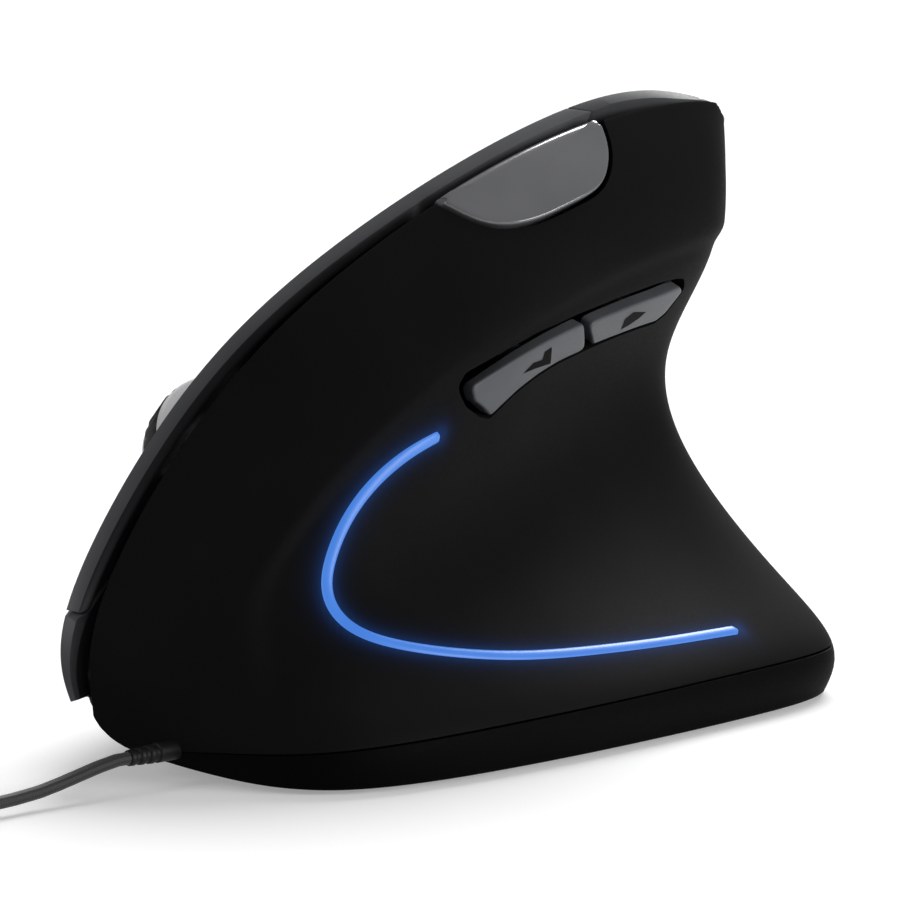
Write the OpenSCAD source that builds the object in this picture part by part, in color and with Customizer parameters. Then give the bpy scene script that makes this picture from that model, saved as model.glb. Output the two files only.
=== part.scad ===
// Vertical ergonomic mouse: a fin for the right hand with a thumb scoop, two main buttons and a wheel.
// Frame: +X is the finger side, +Y the nose, +Z up, origin under the middle of the body on the desk.

/* [Body] */
// Width from the thumb flare to the finger side
body_w = 66; // [64:0.5:72]
// Length from the nose to the palm
body_l = 113; // [110:0.5:122]
// Height of the crest above the desk
body_h = 78; // [76:0.5:86]
// Wall of the moulded shells
wall = 2; // [1.6:0.1:2.2]
// Gap between a moving panel and its neighbours
seam = 0.5; // [0.4:0.05:0.7]
// Extra depth of the finger panels where they turn in along the ridge
ridge_lip = 0.5; // [0.2:0.1:0.7]
// Height of the soft lip round the thumb scoop
scoop_lip = 0.9; // [0:0.1:1.2]

/* [Base] */
// Height of the base above the desk
ride = 0.4; // [0.3:0.1:0.6]
// Thickness of the floor of the base
floor_t = 2.2; // [1.8:0.1:2.6]
// Thickness of the slide pads
pad_t = 0.8; // [0.6:0.1:1]

/* [Buttons] */
// Clearance round the thumb buttons and the speed button
button_gap = 0.6; // [0.4:0.05:0.8]
// Travel of the thumb buttons and the speed button
button_travel = 0.5; // [0.3:0.05:0.6]
// How far the caps stand above the shell
cap_proud = 0.3; // [0:0.1:0.6]
// Thickness of the caps
cap_t = 2.2; // [1.8:0.1:2.6]

/* [Wheel] */
// Diameter over the tyre
wheel_d = 23; // [21:0.5:24]
// Width of the wheel
wheel_width = 6.4; // [5.6:0.2:7]
// How far the wheel stands out of the panel
wheel_out = 4.5; // [3.5:0.25:5]
// Diameter of the axle
axle_d = 2.4; // [2:0.1:3]
// Radial clearance of the axle in its cradle
axle_fit = 0.05; // [0.02:0.01:0.1]
// Travel of the wheel click
wheel_travel = 0.5; // [0.3:0.05:0.6]
// Count of grip ribs on the tyre
tyre_ribs = 36; // [24:2:48]

/* [Boards] */
// Thickness of the circuit boards
board_t = 1.2; // [1:0.1:1.6]
// Height of the main board above the floor
board_lift = 3.4; // [3:0.1:4]
// Depth of the switch board below the finger panel
switch_depth = 13; // [12.5:0.25:14]

/* [Light] */
// Width of the light guide
light_d = 1.5; // [1.2:0.1:1.8]
// Clearance of the light guide in its groove
light_fit = 0.06; // [0.04:0.01:0.1]

/* [Cord] */
// Diameter of the braided cord
cord_d = 1.6; // [1.4:0.1:1.8]
// Loops in each of the coil's four layers
coil_turns = 5.4375; // [4.4375:1:5.4375]
// Radius of the outermost loop
coil_r = 16.2; // [16:0.1:18]
// Pitch between neighbouring loops
coil_pitch = 2.32; // [2.32:0.02:2.4]
// Pitch between layers
coil_rise = 2.25; // [2.25:0.05:2.4]

/* [Hidden] */
$fn = 48;

// Size at which the two skins below are drawn
drawn = [66, 113, 78];
function fit(p) = [p.x * body_w / drawn.x, p.y * body_l / drawn.y, p.z * body_h / drawn.z];

// Thumb side: rows run from the ridge to the foot, points from the nose to the rear
thumb_rows = [
    [[1, 55, 8], [2, 56, 19], [0, 41, 40.5], [-3.5, 25, 55.5],
     [-8.5, 1, 69], [-11, -22, 76], [-12.5, -40, 77], [-10.5, -45, 75.5]],
    [[0, 54.7, 7.5], [-6, 51, 18], [-10, 35, 37], [-13, 20, 49.5],
     [-16.5, -2, 61.5], [-17, -22, 67], [-16.5, -39.5, 69], [-11.5, -44.5, 68.5]],
    [[-0.5, 54.3, 7], [-10, 49, 16], [-16, 32, 32], [-19, 16, 41.5],
     [-20.5, -5, 51], [-19, -24, 55], [-17, -38, 56.5], [-11, -43.5, 56]],
    [[-1, 53.8, 6.5], [-12, 48, 14], [-19.5, 31, 26], [-15.5, 12, 32],
     [-9, -9, 38], [-6, -26, 41], [-5.5, -37.5, 43.5], [-1, -42, 43]],
    [[-1.5, 53.4, 5.8], [-13, 48, 11], [-22.5, 34, 19], [-20, 9, 22],
     [-13, -13, 25], [-10, -29, 28], [-9.5, -39, 30], [-4, -44, 30]],
    [[-2.5, 53, 5], [-14, 48.5, 7.6], [-28, 40, 12], [-28.5, 8, 13],
     [-24, -14, 13.5], [-22, -31, 14.5], [-21.5, -44.5, 15.5], [-14.5, -50, 15.5]],
    [[-3, 52.5, 4.2], [-14.5, 49.5, 4.4], [-31.5, 46, 5.5], [-34.8, 16, 6.5],
     [-34, -8, 6.5], [-32.5, -29, 6.5], [-31, -50, 6.5], [-21.5, -55, 6.5]],
    [[-3, 51.5, 3.2], [-13, 48.5, 1], [-30, 45.5, 0.4], [-32.8, 16, 0.4],
     [-32.3, -8, 0.4], [-31, -28, 0.4], [-28.5, -47.5, 0.4], [-20, -53, 0.4]]
];
// Finger side: the same rows, ending on the rear edge of the thumb side
finger_rows = [
    [[4, 55.5, 8], [6.5, 58, 17.5], [5, 42, 40.5], [1.5, 26, 56],
     [-5, 1, 70.5], [-8.5, -24, 79], [-10, -37.5, 78]],
    [[5, 53, 8], [9.5, 50.5, 17], [11, 35, 35], [8.5, 20, 49.5],
     [5, -2, 62.5], [2, -28, 69.5], [-4, -44, 69]],
    [[6, 51.5, 8], [12, 47.5, 15.5], [17.5, 33, 30.5], [16.5, 19.5, 42.5],
     [15, -4, 53], [11, -30, 59], [2, -47.5, 57]],
    [[6.5, 50, 7.5], [14, 45.5, 13], [22.5, 32, 25.5], [22, 19, 35],
     [22, -6, 42.5], [18, -32, 46.5], [6.5, -49.5, 44.5]],
    [[6.5, 48.5, 6.5], [14.5, 44, 10.5], [24.5, 30, 20], [26.5, 17, 26.5],
     [27.5, -7, 31], [23, -34, 34], [9, -52.5, 32]],
    [[6, 47.5, 5.5], [13, 42, 8], [25, 27.5, 13.5], [30, 15, 17],
     [31.5, -8, 19], [27, -36, 21], [11, -56.5, 19]],
    [[5, 46.5, 4.5], [10.5, 38.5, 5], [24, 24.5, 6.5], [32, 12, 6.5],
     [34.5, -9, 6.5], [31, -38, 6.5], [11, -61.5, 6.5]],
    [[4, 45.5, 3], [9.5, 37.5, 1], [22.5, 23.5, 0.4], [30.5, 11, 0.4],
     [33, -9, 0.4], [29.5, -37, 0.4], [10, -60, 0.4]]
];
thumb_net = [for (row = thumb_rows) [for (p = row) fit(p)]];
finger_net = [for (k = [0:len(finger_rows) - 1])
    [for (p = concat(finger_rows[k], [thumb_rows[k][7]])) fit(p)]];
THUMB = 1;
FINGER = -1;
function net_of(side) = side == THUMB ? thumb_net : finger_net;

// Smooth curve guided by a list of points, from 0 at the first to 1 at the last
function guide(p, k) =
    let (n = len(p) - 1)
    k < 0 ? 2 * p[0] - p[1] : k > n ? 2 * p[n] - p[n - 1] : p[k];
function along(p, t) =
    let (n = len(p) - 1, s = min(max(t, 0), 1) * n, i = min(floor(s), n - 1), f = s - i, g = 1 - f)
    (pow(g, 3) * guide(p, i - 1) + (3 * pow(f, 3) - 6 * f * f + 4) * guide(p, i)
     + (3 * pow(g, 3) - 6 * g * g + 4) * guide(p, i + 1) + pow(f, 3) * guide(p, i + 2)) / 6;
function bare_skin(side, u, w) = along([for (row = net_of(side)) along(row, u)], w);
function unit(v) = v / norm(v);
function mix(a, b, t) = a + (b - a) * t;
function ease(t) = let (s = min(max(t, 0), 1)) s * s * (3 - 2 * s);

// Outward direction of a skin
function outward(side, u, w) =
    let (h = 0.01,
         du = bare_skin(side, min(u + h, 1), w) - bare_skin(side, max(u - h, 0), w),
         dw = bare_skin(side, u, min(w + h, 1)) - bare_skin(side, u, max(w - h, 0)))
    side * unit(cross(dw, du));

// Lip round the scoop: a soft step along a rounded corner in skin shares
lip_reach = [0.81, 0.75];
lip_power = 12;
function lip_edge(u, w) =
    pow(pow((1 - u) / lip_reach.x, lip_power) + pow((1 - w) / lip_reach.y, lip_power), 1 / lip_power) - 1;
function lip_height(u, w) =
    let (e = lip_edge(u, w))
    scoop_lip * ease((e + 0.02) / 0.05) * exp(-max(e, 0) / 0.12) * ease((0.85 - w) / 0.35);

// Point of a skin, a depth below its outside
function skin(side, u, w, depth = 0) =
    bare_skin(side, u, w)
    + ((side == THUMB ? lip_height(u, w) : 0) - depth) * outward(side, u, w);

// Frame on a skin: X along it, Y down it, Z out of it
function skin_frame(side, u, w) =
    let (h = 0.01, n = outward(side, u, w),
         dw = bare_skin(side, u, w + h) - bare_skin(side, u, w - h),
         ey = unit(dw - n * (dw * n)))
    [bare_skin(side, u, w), cross(ey, n), ey, n];
module place(f) {
    multmatrix([
        [f[1].x, f[2].x, f[3].x, f[0].x],
        [f[1].y, f[2].y, f[3].y, f[0].y],
        [f[1].z, f[2].z, f[3].z, f[0].z]
    ]) children();
}

// Lengths of the skins, which turn a seam into a share of them
ridge_run = 130 * body_l / drawn.y;
side_run = 85 * body_h / drawn.z;
seam_u = seam / ridge_run;
seam_w = seam / side_run;

// Seams between the panels, in skin shares
wheel_u = 0.36;
wheel_w = 0.24;
tip_u = 0.14;
nose_u = 0.015;
tip_w = 0.006;
rim_w = 0.865;
low_w = 0.64;
rim_gap_w = 0.2 / side_run;
function palm_u(w) = 0.69 - 0.13 * w;
// The seam between the main buttons lies in a plane up to the wheel, where it turns along the body
split_run = 0.13;
split_bow = 0.43;
split_gap = seam_w / 2;
function split_w(u) = let (t = (u - tip_u) / split_run) wheel_w * (t < 1 ? t + split_bow * t * (1 - t) : 1);
// Reach of the bare panels over that plane, which trims them
split_over = 0.03;
function over(u) = split_over * (1 - ease((u - 0.235) / 0.03));
// Share of the palm seam at a share q of a panel's height, found by three rounds of closing in
function seam_at(top, q, u) = palm_u(mix(top, rim_of(u), q));
function palm_edge(top, q) = seam_at(top, q, seam_at(top, q, seam_at(top, q, palm_u(low_w))));
// Where the two buttons start on the ridge
tip_slope = wheel_w * (1 + split_bow) / split_run;
left_from = tip_u + (2 * split_gap + tip_w) / tip_slope;
right_from = tip_u - 2 * split_gap / tip_slope;
nose_share = 1 / 6;
function right_u(s, e) =
    s < nose_share ? mix(nose_u, right_from, s / nose_share)
                   : mix(right_from, e, (s - nose_share) / (1 - nose_share));
// Room for the right button over the rim, most at the nose, where it swings furthest
function rim_free(u) = 2 * seam_w + 0.024 * (1 - ease((u - 0.05) / 0.3));
function rim_of(u) = mix(low_w, rim_w, ease((u - 0.5) / 0.35));
// The walls thin out towards the nose, the rear edge and the ridge, where the two sides meet
function end_share(u) = mix(0.45, 1, ease(u / 0.16)) * mix(1, 0.2, ease((u - 0.84) / 0.15));
function panel_t(u, w) = (wall + ridge_lip * (1 - ease(w / 0.1))) * end_share(u);
function thumb_t(u, w) = wall * mix(0.45, 1, ease(w / 0.08)) * end_share(u);

// Moulded wall: a patch of a skin between two depths
module wall_patch(side, map, nu, nw, from, to) {
    uv = [for (j = [0:nw]) for (i = [0:nu]) map(i / nu, j / nw)];
    base = [for (p = uv) skin(side, p.x, p.y)];
    out = [for (p = uv) outward(side, p.x, p.y)];
    count = len(uv);
    last = count - 1;
    points = concat([for (k = [0:last]) base[k] - out[k] * from(uv[k].x, uv[k].y)],
                    [for (k = [0:last]) base[k] - out[k] * to(uv[k].x, uv[k].y)]);
    row = nu + 1;
    function quad(a, b, c, d) = [[a, b, c], [a, c, d]];
    sheet = [for (j = [0:nw - 1]) for (i = [0:nu - 1])
        let (a = j * row + i) each quad(a, a + 1, a + row + 1, a + row)];
    back = [for (f = sheet) [f[2] + count, f[1] + count, f[0] + count]];
    edge = concat([for (i = [0:nu - 1]) [i + 1, i]],
                  [for (i = [0:nu - 1]) [nw * row + i, nw * row + i + 1]],
                  [for (j = [0:nw - 1]) [j * row, (j + 1) * row]],
                  [for (j = [0:nw - 1]) [(j + 1) * row + nu, j * row + nu]]);
    rim = [for (e = edge) each quad(e[0], e[1], e[1] + count, e[0] + count)];
    faces = concat(sheet, back, rim);
    polyhedron(points, side == THUMB ? faces : [for (f = faces) [f[2], f[1], f[0]]], convexity = 8);
}
function flat(d) = function (u, w) d;

// Solid through a list of rings, closed by a fan at each end
module ring_solid(rings) {
    n = len(rings[0]);
    m = len(rings);
    function middle(r) = [for (k = [0:2]) (min([for (p = r) p[k]]) + max([for (p = r) p[k]])) / 2];
    points = concat([for (r = rings) each r], [middle(rings[0]), middle(rings[m - 1])]);
    sides = [for (j = [0:m - 2]) for (i = [0:n - 1])
        let (a = j * n + i, b = j * n + (i + 1) % n) each [[a, b, b + n], [a, b + n, a + n]]];
    first = [for (i = [0:n - 1]) [n * m, (i + 1) % n, i]];
    final = [for (i = [0:n - 1]) [n * m + 1, (m - 1) * n + i, (m - 1) * n + (i + 1) % n]];
    polyhedron(points, concat(sides, first, final), convexity = 8);
}

// Round tube along a list of points, its rings square to the route and its ends to the given directions
function ring_at(c, t, r, sides) =
    let (side = unit(cross(abs(t.z) > 0.9 ? [1, 0, 0] : [0, 0, 1], t)), up = cross(t, side))
    [for (k = [0:sides - 1]) let (a = 360 * k / sides) c + r * (cos(a) * side + sin(a) * up)];
module tube(route, r, sides) {
    n = len(route) - 1;
    ring_solid([for (i = [0:n])
        ring_at(route[i], unit(route[min(i + 1, n)] - route[max(i - 1, 0)]), r, sides)]);
}

// Frames of the moving parts
wheel_frame = skin_frame(FINGER, wheel_u, wheel_w);
thumb_frame = skin_frame(THUMB, 0.70, 0.32);
dpi_frame = skin_frame(THUMB, 0.70, 0.06);
dpi_seat = skin_frame(THUMB, 0.61, 0.078);
light_frame = skin_frame(THUMB, 0.30, 0.42);

// Base tray: floor, rim and the bumper under the finger panels
floor_z = ride + floor_t;
tray_thumb = 30;
tray_finger = 36;
flat_share = 0.8;
function tray_loop(w_of, depth) = concat(
    [for (i = [0:tray_thumb]) let (u = i / tray_thumb) skin(THUMB, u, w_of(rim_w), depth)],
    [for (j = [1:tray_finger]) let (u = 1 - j / tray_finger) skin(FINGER, u, w_of(rim_of(u)), depth)]);
function drawn_in(ring, z) = [for (p = ring) [p.x * flat_share, p.y * flat_share, z]];
function lifted(ring, below) = [for (k = [0:len(ring) - 1])
    [ring[k].x, ring[k].y, max(floor_z, below[k].z + floor_t)]];
module tray_body() {
    foot = tray_loop(function (w) 1, 0);
    inside = tray_loop(function (w) 0.955, wall);
    outer = [for (k = [0:5]) tray_loop(function (w) mix(w, 1, k / 5), 0)];
    inner = [for (k = [3:-1:0]) tray_loop(function (w) mix(w, 0.955, k / 4), wall)];
    well = lifted(inside, foot);
    ring_solid(concat([drawn_in(well, floor_z), well], inner, outer, [drawn_in(foot, ride)]));
}

// Places on the floor of the tray
sensor_at = [-2, -9];
board_size = [32, 27];
board_at = [-2, -9.5];
post_at = [for (x = [-1, 1]) for (y = [-1, 1])
    board_at + [x * (board_size.x / 2 - 3), y * (board_size.y / 2 - 3)]];
frame_x = 2;
frame_screws = [for (y = [-43, -31]) [frame_x, y * body_l / drawn.y]];
stand_screws = [[-6, 24], [9, 12]];
screw_d = 2;
screw_head = 4.2;
screw_len = 6;
screw_fit = 0.1;
screw_sink = 1.2;
// How much smaller a pilot hole in plastic is than its screw
screw_bite = 0.3;
post_d = 4.5;
post_floor = 0.4;
pad_places = [[-11, 36, 0], [-14, -45, 0], [23, -6, 90]];
pad_size = [22, 6];
pad_fit = 0.1;
window = [9, 8];
relief_at = fit([-8.4, 50.6, 4.2]);
relief_d = 2.4;
relief_fit = 0.1;
relief_len = 11.6;
module relief_bore() {
    translate(relief_at) rotate([90, 0, 0])
        cylinder(d = relief_d + 2 * relief_fit, h = 2 * relief_len, center = true, $fn = 24);
}

module stadium(size) {
    square([size.x - size.y, size.y], center = true);
    for (s = [-1, 1]) translate([s * (size.x - size.y) / 2, 0]) circle(d = size.y);
}
module base_tray() {
    color("#141416")
    difference() {
        union() {
            tray_body();
            for (p = post_at) translate([p.x, p.y, floor_z - 1]) cylinder(d = post_d, h = board_lift + 1);
        }
        for (p = post_at) translate([p.x, p.y, floor_z + post_floor])
            cylinder(d = screw_d - screw_bite, h = board_lift + 1);
        for (p = concat(frame_screws, stand_screws)) translate([p.x, p.y, -1]) {
            cylinder(d = screw_d + 2 * screw_fit, h = 2 + floor_z);
            cylinder(d = screw_head + 2 * screw_fit, h = 1 + ride + screw_sink);
        }
        for (p = pad_places) translate([p.x, p.y, -1]) rotate(p[2])
            linear_extrude(1 + pad_t) stadium(pad_size + [2 * pad_fit, 2 * pad_fit]);
        translate([sensor_at.x, sensor_at.y, 0]) cube([window.x, window.y, 4 * floor_z], center = true);
        relief_bore();
    }
}
module slide_pads() {
    color("#2a2a2c")
    for (p = pad_places) translate([p.x, p.y, 0]) rotate(p[2]) linear_extrude(pad_t) stadium(pad_size);
}
module screw(length) {
    cylinder(d = screw_d, h = length);
    cylinder(d = screw_head, h = 1);
}
module case_screws() {
    color("#8a8d92")
    for (p = concat(frame_screws, stand_screws))
        translate([p.x, p.y, ride + screw_sink - 1]) screw(screw_len);
}

// Cuts through the thumb side
corner_r = 1.2;
cut_depth = 9;
cut_run = 14;

// Thumb shell with its notch for the speed button, slot for the thumb buttons and groove for the light
thumb_outlines = [
    [[32.4, -0.7], [26.9, -1.5], [19.5, -2.4], [10.3, -2.6], [7.9, 2.7], [14, 2.3], [18.2, 2.5], [22.3, 3.2],
     [27.8, 4.8], [31.9, 1.4]],
    [[9.2, -2.2], [2.9, -1.8], [-5.9, -1], [-11.3, -0.5], [-12.3, 0.9], [-9.8, 3.7], [-8.1, 4.3], [-4.1, 3.7],
     [0.5, 3.2], [6.2, 2.6]]
];
dpi_low = [[25, -1.4], [23.5, 0.9], [22, 3], [20, 4.6], [17, 5.6], [13, 5.7], [9, 5.1], [5, 4.6], [2.2, 3.6],
           [0, 1.5], [-1.6, -1.2], [-2.1, -4]];
dpi_steps = 24;
dpi_outline = concat([for (k = [0:dpi_steps]) along(dpi_low, k / dpi_steps)],
                     [[dpi_low[11].x, -cut_depth], [dpi_low[0].x, -cut_depth]]);
light_route = [[0.43, 0.32], [0.39, 0.305], [0.34, 0.305], [0.295, 0.335], [0.262, 0.41], [0.262, 0.5],
               [0.285, 0.585], [0.325, 0.645], [0.38, 0.695], [0.44, 0.73], [0.52, 0.752], [0.61, 0.77],
               [0.72, 0.782]];
light_steps = 22;
light_depth = 0.35;
// The groove is faceted, so the guide is drawn a little thinner than it
light_share = 0.94;
function light_at(k) = let (p = along(light_route, k / light_steps)) skin(THUMB, p.x, p.y, light_depth);
module rounded(outline, grow) {
    offset(r = corner_r + grow) offset(delta = -corner_r) polygon(outline);
}
module through_cut(frame, outline, grow) {
    place(frame) translate([0, 0, -cut_depth]) linear_extrude(cut_run) rounded(outline, grow);
}
peg_len = 3;
peg_d = 2.4;
light_pegs = [-6, 6];
module thumb_shell() {
    color("#17181a")
    difference() {
        union() {
            wall_patch(THUMB, function (s, q) [s, q * (rim_w - rim_gap_w)], 29, 18,
                       flat(0), function (u, w) thumb_t(u, w));
            place(light_frame) for (x = light_pegs) translate([x, 0, -wall - peg_len])
                cylinder(d = peg_d, h = peg_len + 1, $fn = 16);
        }
        for (o = thumb_outlines) through_cut(thumb_frame, o, button_gap);
        through_cut(dpi_frame, dpi_outline, button_gap);
        for (k = [0:light_steps - 1]) hull() {
            translate(light_at(k)) sphere(d = light_d + 2 * light_fit, $fn = 8);
            translate(light_at(k + 1)) sphere(d = light_d + 2 * light_fit, $fn = 8);
        }
        relief_bore();
    }
}
module light_guide() {
    color("#3f8cf2")
    tube([for (k = [0:light_steps]) light_at(k)], light_d / 2 * light_share, 8);
}

// Caps cut from the same skin as the shell
module cap(frame, outline, u, w, nu, nw) {
    intersection() {
        wall_patch(THUMB, function (s, q) [mix(u[0], u[1], s), mix(w[0], w[1], q)], nu, nw,
                   flat(-cap_proud), flat(cap_t - cap_proud));
        through_cut(frame, outline, 0);
    }
}
stem_d = 2;
tact = [6, 4.4, 2.4];
stem_free = 0.6;
tact_floor = 0.4;
cap_under = cap_t - cap_proud;
tact_top = cap_under + 0.9;
thumb_stems = [[20.5, 0.3], [-1, 0.9]];
dpi_stem_at = [0, 0];
module cap_post(frame, p) {
    place(frame) translate([p.x, p.y, -tact_top + stem_free])
        cylinder(d = stem_d, h = tact_top - stem_free - 1);
}
module dpi_button() {
    color("#4a4b4d")
    union() {
        cap(dpi_frame, dpi_outline, [0.5, 0.76], [0, 0.22], 20, 8);
        cap_post(dpi_seat, dpi_stem_at);
    }
}
module forward_button() {
    color("#505153")
    union() {
        cap(thumb_frame, thumb_outlines[0], [0.4, 0.68], [0.22, 0.46], 18, 8);
        cap_post(thumb_frame, thumb_stems[0]);
    }
}
module back_button() {
    color("#505153")
    union() {
        cap(thumb_frame, thumb_outlines[1], [0.56, 0.9], [0.22, 0.44], 18, 8);
        cap_post(thumb_frame, thumb_stems[1]);
    }
}

// Switch under a cap: housing, sliding stem and its board
module tact_body(p) {
    translate([p.x, p.y, -tact_top - tact.z]) difference() {
        translate([-tact.x / 2, -tact.y / 2, 0]) cube(tact);
        translate([0, 0, tact_floor]) cylinder(d = stem_d + 1.2, h = tact.z);
    }
}
module tact_stem(p) {
    translate([p.x, p.y, -tact_top - 1.2]) cylinder(d = stem_d + 0.6, h = 1.2 + stem_free - 0.02);
}
board_hole = 1.6;
hole_edge = 2;
module board(at, size) {
    translate(at) linear_extrude(board_t) difference() {
        square(size, center = true);
        for (s = [-1, 1]) translate([s * (size.x / 2 - hole_edge), size.y / 2 - hole_edge])
            circle(d = board_hole);
    }
}
under_tact = tact_top + tact.z + board_t;
thumb_board_at = [10, 1.2];
thumb_board_size = [36, 9];
dpi_board_at = [0, 0.5];
dpi_board_size = [16, 6.4];
module thumb_board() {
    color("#1f5c3a")
    place(thumb_frame) translate([0, 0, -under_tact]) board(thumb_board_at, thumb_board_size);
}
module thumb_switches() {
    color("#3a3a3c") place(thumb_frame) for (p = thumb_stems) tact_body(p);
}
module forward_stem() { color("#d9d4c4") place(thumb_frame) tact_stem(thumb_stems[0]); }
module back_stem() { color("#d9d4c4") place(thumb_frame) tact_stem(thumb_stems[1]); }
module dpi_board() {
    color("#1f5c3a")
    place(dpi_seat) translate([0, 0, -under_tact]) board(dpi_board_at, dpi_board_size);
}
module dpi_switch() { color("#3a3a3c") place(dpi_seat) tact_body(dpi_stem_at); }
module dpi_stem() { color("#d9d4c4") place(dpi_seat) tact_stem(dpi_stem_at); }

// Light board behind the guide, on pegs of the thumb shell
module light_board() {
    color("#1f5c3a")
    place(light_frame) translate([0, 0, -wall - peg_len - board_t - 0.1]) {
        linear_extrude(board_t) square([18, 5], center = true);
        for (x = [-2.5, 2.5]) translate([x - 1, -0.6, board_t]) cube([2, 1.2, 0.8]);
    }
}

// Finger panels: thick along the ridge, ribbed inside, tucked under the palm shell at the rear
rib_d = 1.4;
rib_pieces = 3;
module rib(a, b) {
    for (k = [0:rib_pieces - 1]) hull() {
        for (t = [k, k + 1] / rib_pieces) let (p = mix(a, b, t))
            translate(skin(FINGER, p.x, p.y, wall + rib_d / 4)) sphere(d = rib_d, $fn = 6);
    }
}
tongue_gap = 0.35;
tongue_t = 1;
// Reach of a tongue and of its root across the palm seam, in skin shares
tongue_reach = [-0.05, 0.03];
root_reach = [-0.044, -0.021];
root_inset = [0.012, -0.014];
root_sink = 0.9;
function across_seam(w, reach, s, q) =
    let (v = mix(w[0], w[1], q))
    [palm_u(v) + mix(reach[0], reach[1], s), v];
module tongue(w) {
    wall_patch(FINGER, function (s, q) across_seam(w, tongue_reach, s, q), 8, 6,
               flat(wall + tongue_gap), flat(wall + tongue_gap + tongue_t));
    wall_patch(FINGER, function (s, q) across_seam(w + root_inset, root_reach, s, q), 4, 5,
               flat(wall - root_sink), flat(wall + tongue_gap + 0.55 * tongue_t));
}
slot_gap = 0.8;
slot_r = 2;
wheel_slot = [wheel_d + 2 * slot_gap, wheel_width + 2 * slot_gap];
module wheel_opening() {
    place(wheel_frame) translate([0, 0, -wheel_d]) linear_extrude(2 * wheel_d)
        offset(r = slot_r) square(wheel_slot - [2 * slot_r, 2 * slot_r], center = true);
}
plunger_at = [[1, -12.2], [1, 12.2]];
plunger_d = 1.8;
actuator_d = 3.2;
switch_size = [12.8, 5.8, 6.5];
switch_top = switch_depth - switch_size.z;
plunger_h = 0.7;
plunger_in = 0.8;
plunger_well = 1.5;
switch_front = 4;
module actuator(p) {
    place(wheel_frame) translate([p.x, p.y, -switch_top + plunger_h + 0.02])
        cylinder(d = actuator_d, h = switch_top - plunger_h - (p.y > 0 ? 2.6 : 0.6), $fn = 20);
}
// Trims a main button to its side of the seam: the left one at 1, the right one at -1
trim_block = [12, 12, 15];
module seam_trim(way) {
    a = bare_skin(FINGER, tip_u, 0);
    run = bare_skin(FINGER, tip_u + split_run, wheel_w) - a;
    ex = unit(run);
    ey = unit(cross(ex, outward(FINGER, tip_u + split_run / 2, wheel_w / 2)));
    place([a, ex, ey, cross(ex, ey)])
        translate([-trim_block.x, way > 0 ? seam / 2 - trim_block.y : -seam / 2, -trim_block.z])
            cube([norm(run) + trim_block.x + seam, trim_block.y, 2 * trim_block.z]);
}
module left_button() {
    color("#2b2c2e")
    difference() {
        union() {
            wall_patch(FINGER,
                function (s, q) let (e = palm_u(q * wheel_w) - seam_u, u = mix(left_from, e, s))
                    [u, q * (split_w(u) - split_gap + over(u))],
                22, 6, flat(0), function (u, w) panel_t(u, w));
            tongue([0.05, 0.2]);
            actuator(plunger_at[0]);
            for (u = [0.46, 0.52, 0.58]) rib([u, 0.11], [u, 0.21]);
        }
        wheel_opening();
        seam_trim(1);
    }
}
module right_button() {
    color("#232426")
    difference() {
        union() {
            wall_patch(FINGER,
                function (s, q) let (e = palm_edge(wheel_w, q) - seam_u, u = right_u(s, e))
                    [u, mix(max(split_w(u) + split_gap - over(u), 0), rim_of(u) - rim_free(u), q)],
                24, 9, flat(0), function (u, w) panel_t(u, w));
            tongue([0.3, 0.55]);
            actuator(plunger_at[1]);
            for (u = [0.46, 0.51, 0.56]) rib([u, 0.34], [u, 0.56]);
        }
        wheel_opening();
        seam_trim(-1);
    }
}
module palm_shell() {
    color("#1b1c1e")
    union() {
        wall_patch(FINGER,
            function (s, q) let (a = palm_edge(0, q) + seam_u, u = mix(a, 1 - seam_u, s))
                [u, q * (rim_of(u) - rim_gap_w)],
            16, 13, flat(0), function (u, w) panel_t(u, w));
        for (w = [0.25, 0.38, 0.51, 0.64]) rib([0.76, w], [0.9, w]);
    }
}

// Trim on the floor of the groove between the thumb shell and the ridge
trim_t = 1.2;
trim_steps = 34;
trim_ends = [0.1, 0.88];
trim_free = 1.3;
function trim_under(u) =
    0.1 + (cap_under + button_travel) * ease((u - 0.44) / 0.05) * ease((0.83 - u) / 0.05);
module ridge_trim() {
    color("#08080a")
    ring_solid([for (k = [0:trim_steps])
        let (u = mix(trim_ends[0], trim_ends[1], k / trim_steps),
             a = skin(THUMB, u, 0.02, thumb_t(u, 0.02) + trim_under(u)),
             b = skin(FINGER, u, 0.05, panel_t(u, 0.05) + trim_free),
             inward = -trim_t * unit(outward(THUMB, u, 0) + outward(FINGER, u, 0)))
        [b, b + inward, a + inward, a]]);
}

// Wheel, in its own frame with the axle along Y
wheel_r = wheel_d / 2;
axle_z = wheel_out - wheel_r;
cheek_gap = 0.8;
cheek_t = 1.6;
cheek_y = wheel_width / 2 + cheek_gap;
tyre_t = 2.1;
flange_t = 1.1;
module on_axle() {
    place(wheel_frame) translate([0, 0, axle_z]) rotate([-90, 0, 0]) children();
}
half_w = wheel_width / 2;
boss_r = 3;
boss_foot = 3.4;
boss_out = 0.4;
web_sink = 1;
ring_in = wheel_r - tyre_t - 2;
hub_hole = 2.6;
hub_holes = 5;
hub_half = [
    [axle_d / 2 + 0.01, half_w + boss_out], [boss_r, half_w + boss_out], [boss_foot, half_w - web_sink],
    [ring_in, half_w - web_sink], [ring_in + 0.6, half_w], [wheel_r - 1.2, half_w],
    [wheel_r - 1, half_w - flange_t], [wheel_r - tyre_t, half_w - flange_t]
];
tyre_side = half_w - flange_t - 0.02;
tyre_half = [[wheel_r - tyre_t + 0.01, tyre_side], [wheel_r - 0.4, tyre_side], [wheel_r, tyre_side - 0.48]];
groove_d = 0.9;
groove_out = 0.1;
function both_sides(p) = concat(p, [for (k = [len(p) - 1:-1:0]) [p[k].x, -p[k].y]]);
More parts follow.
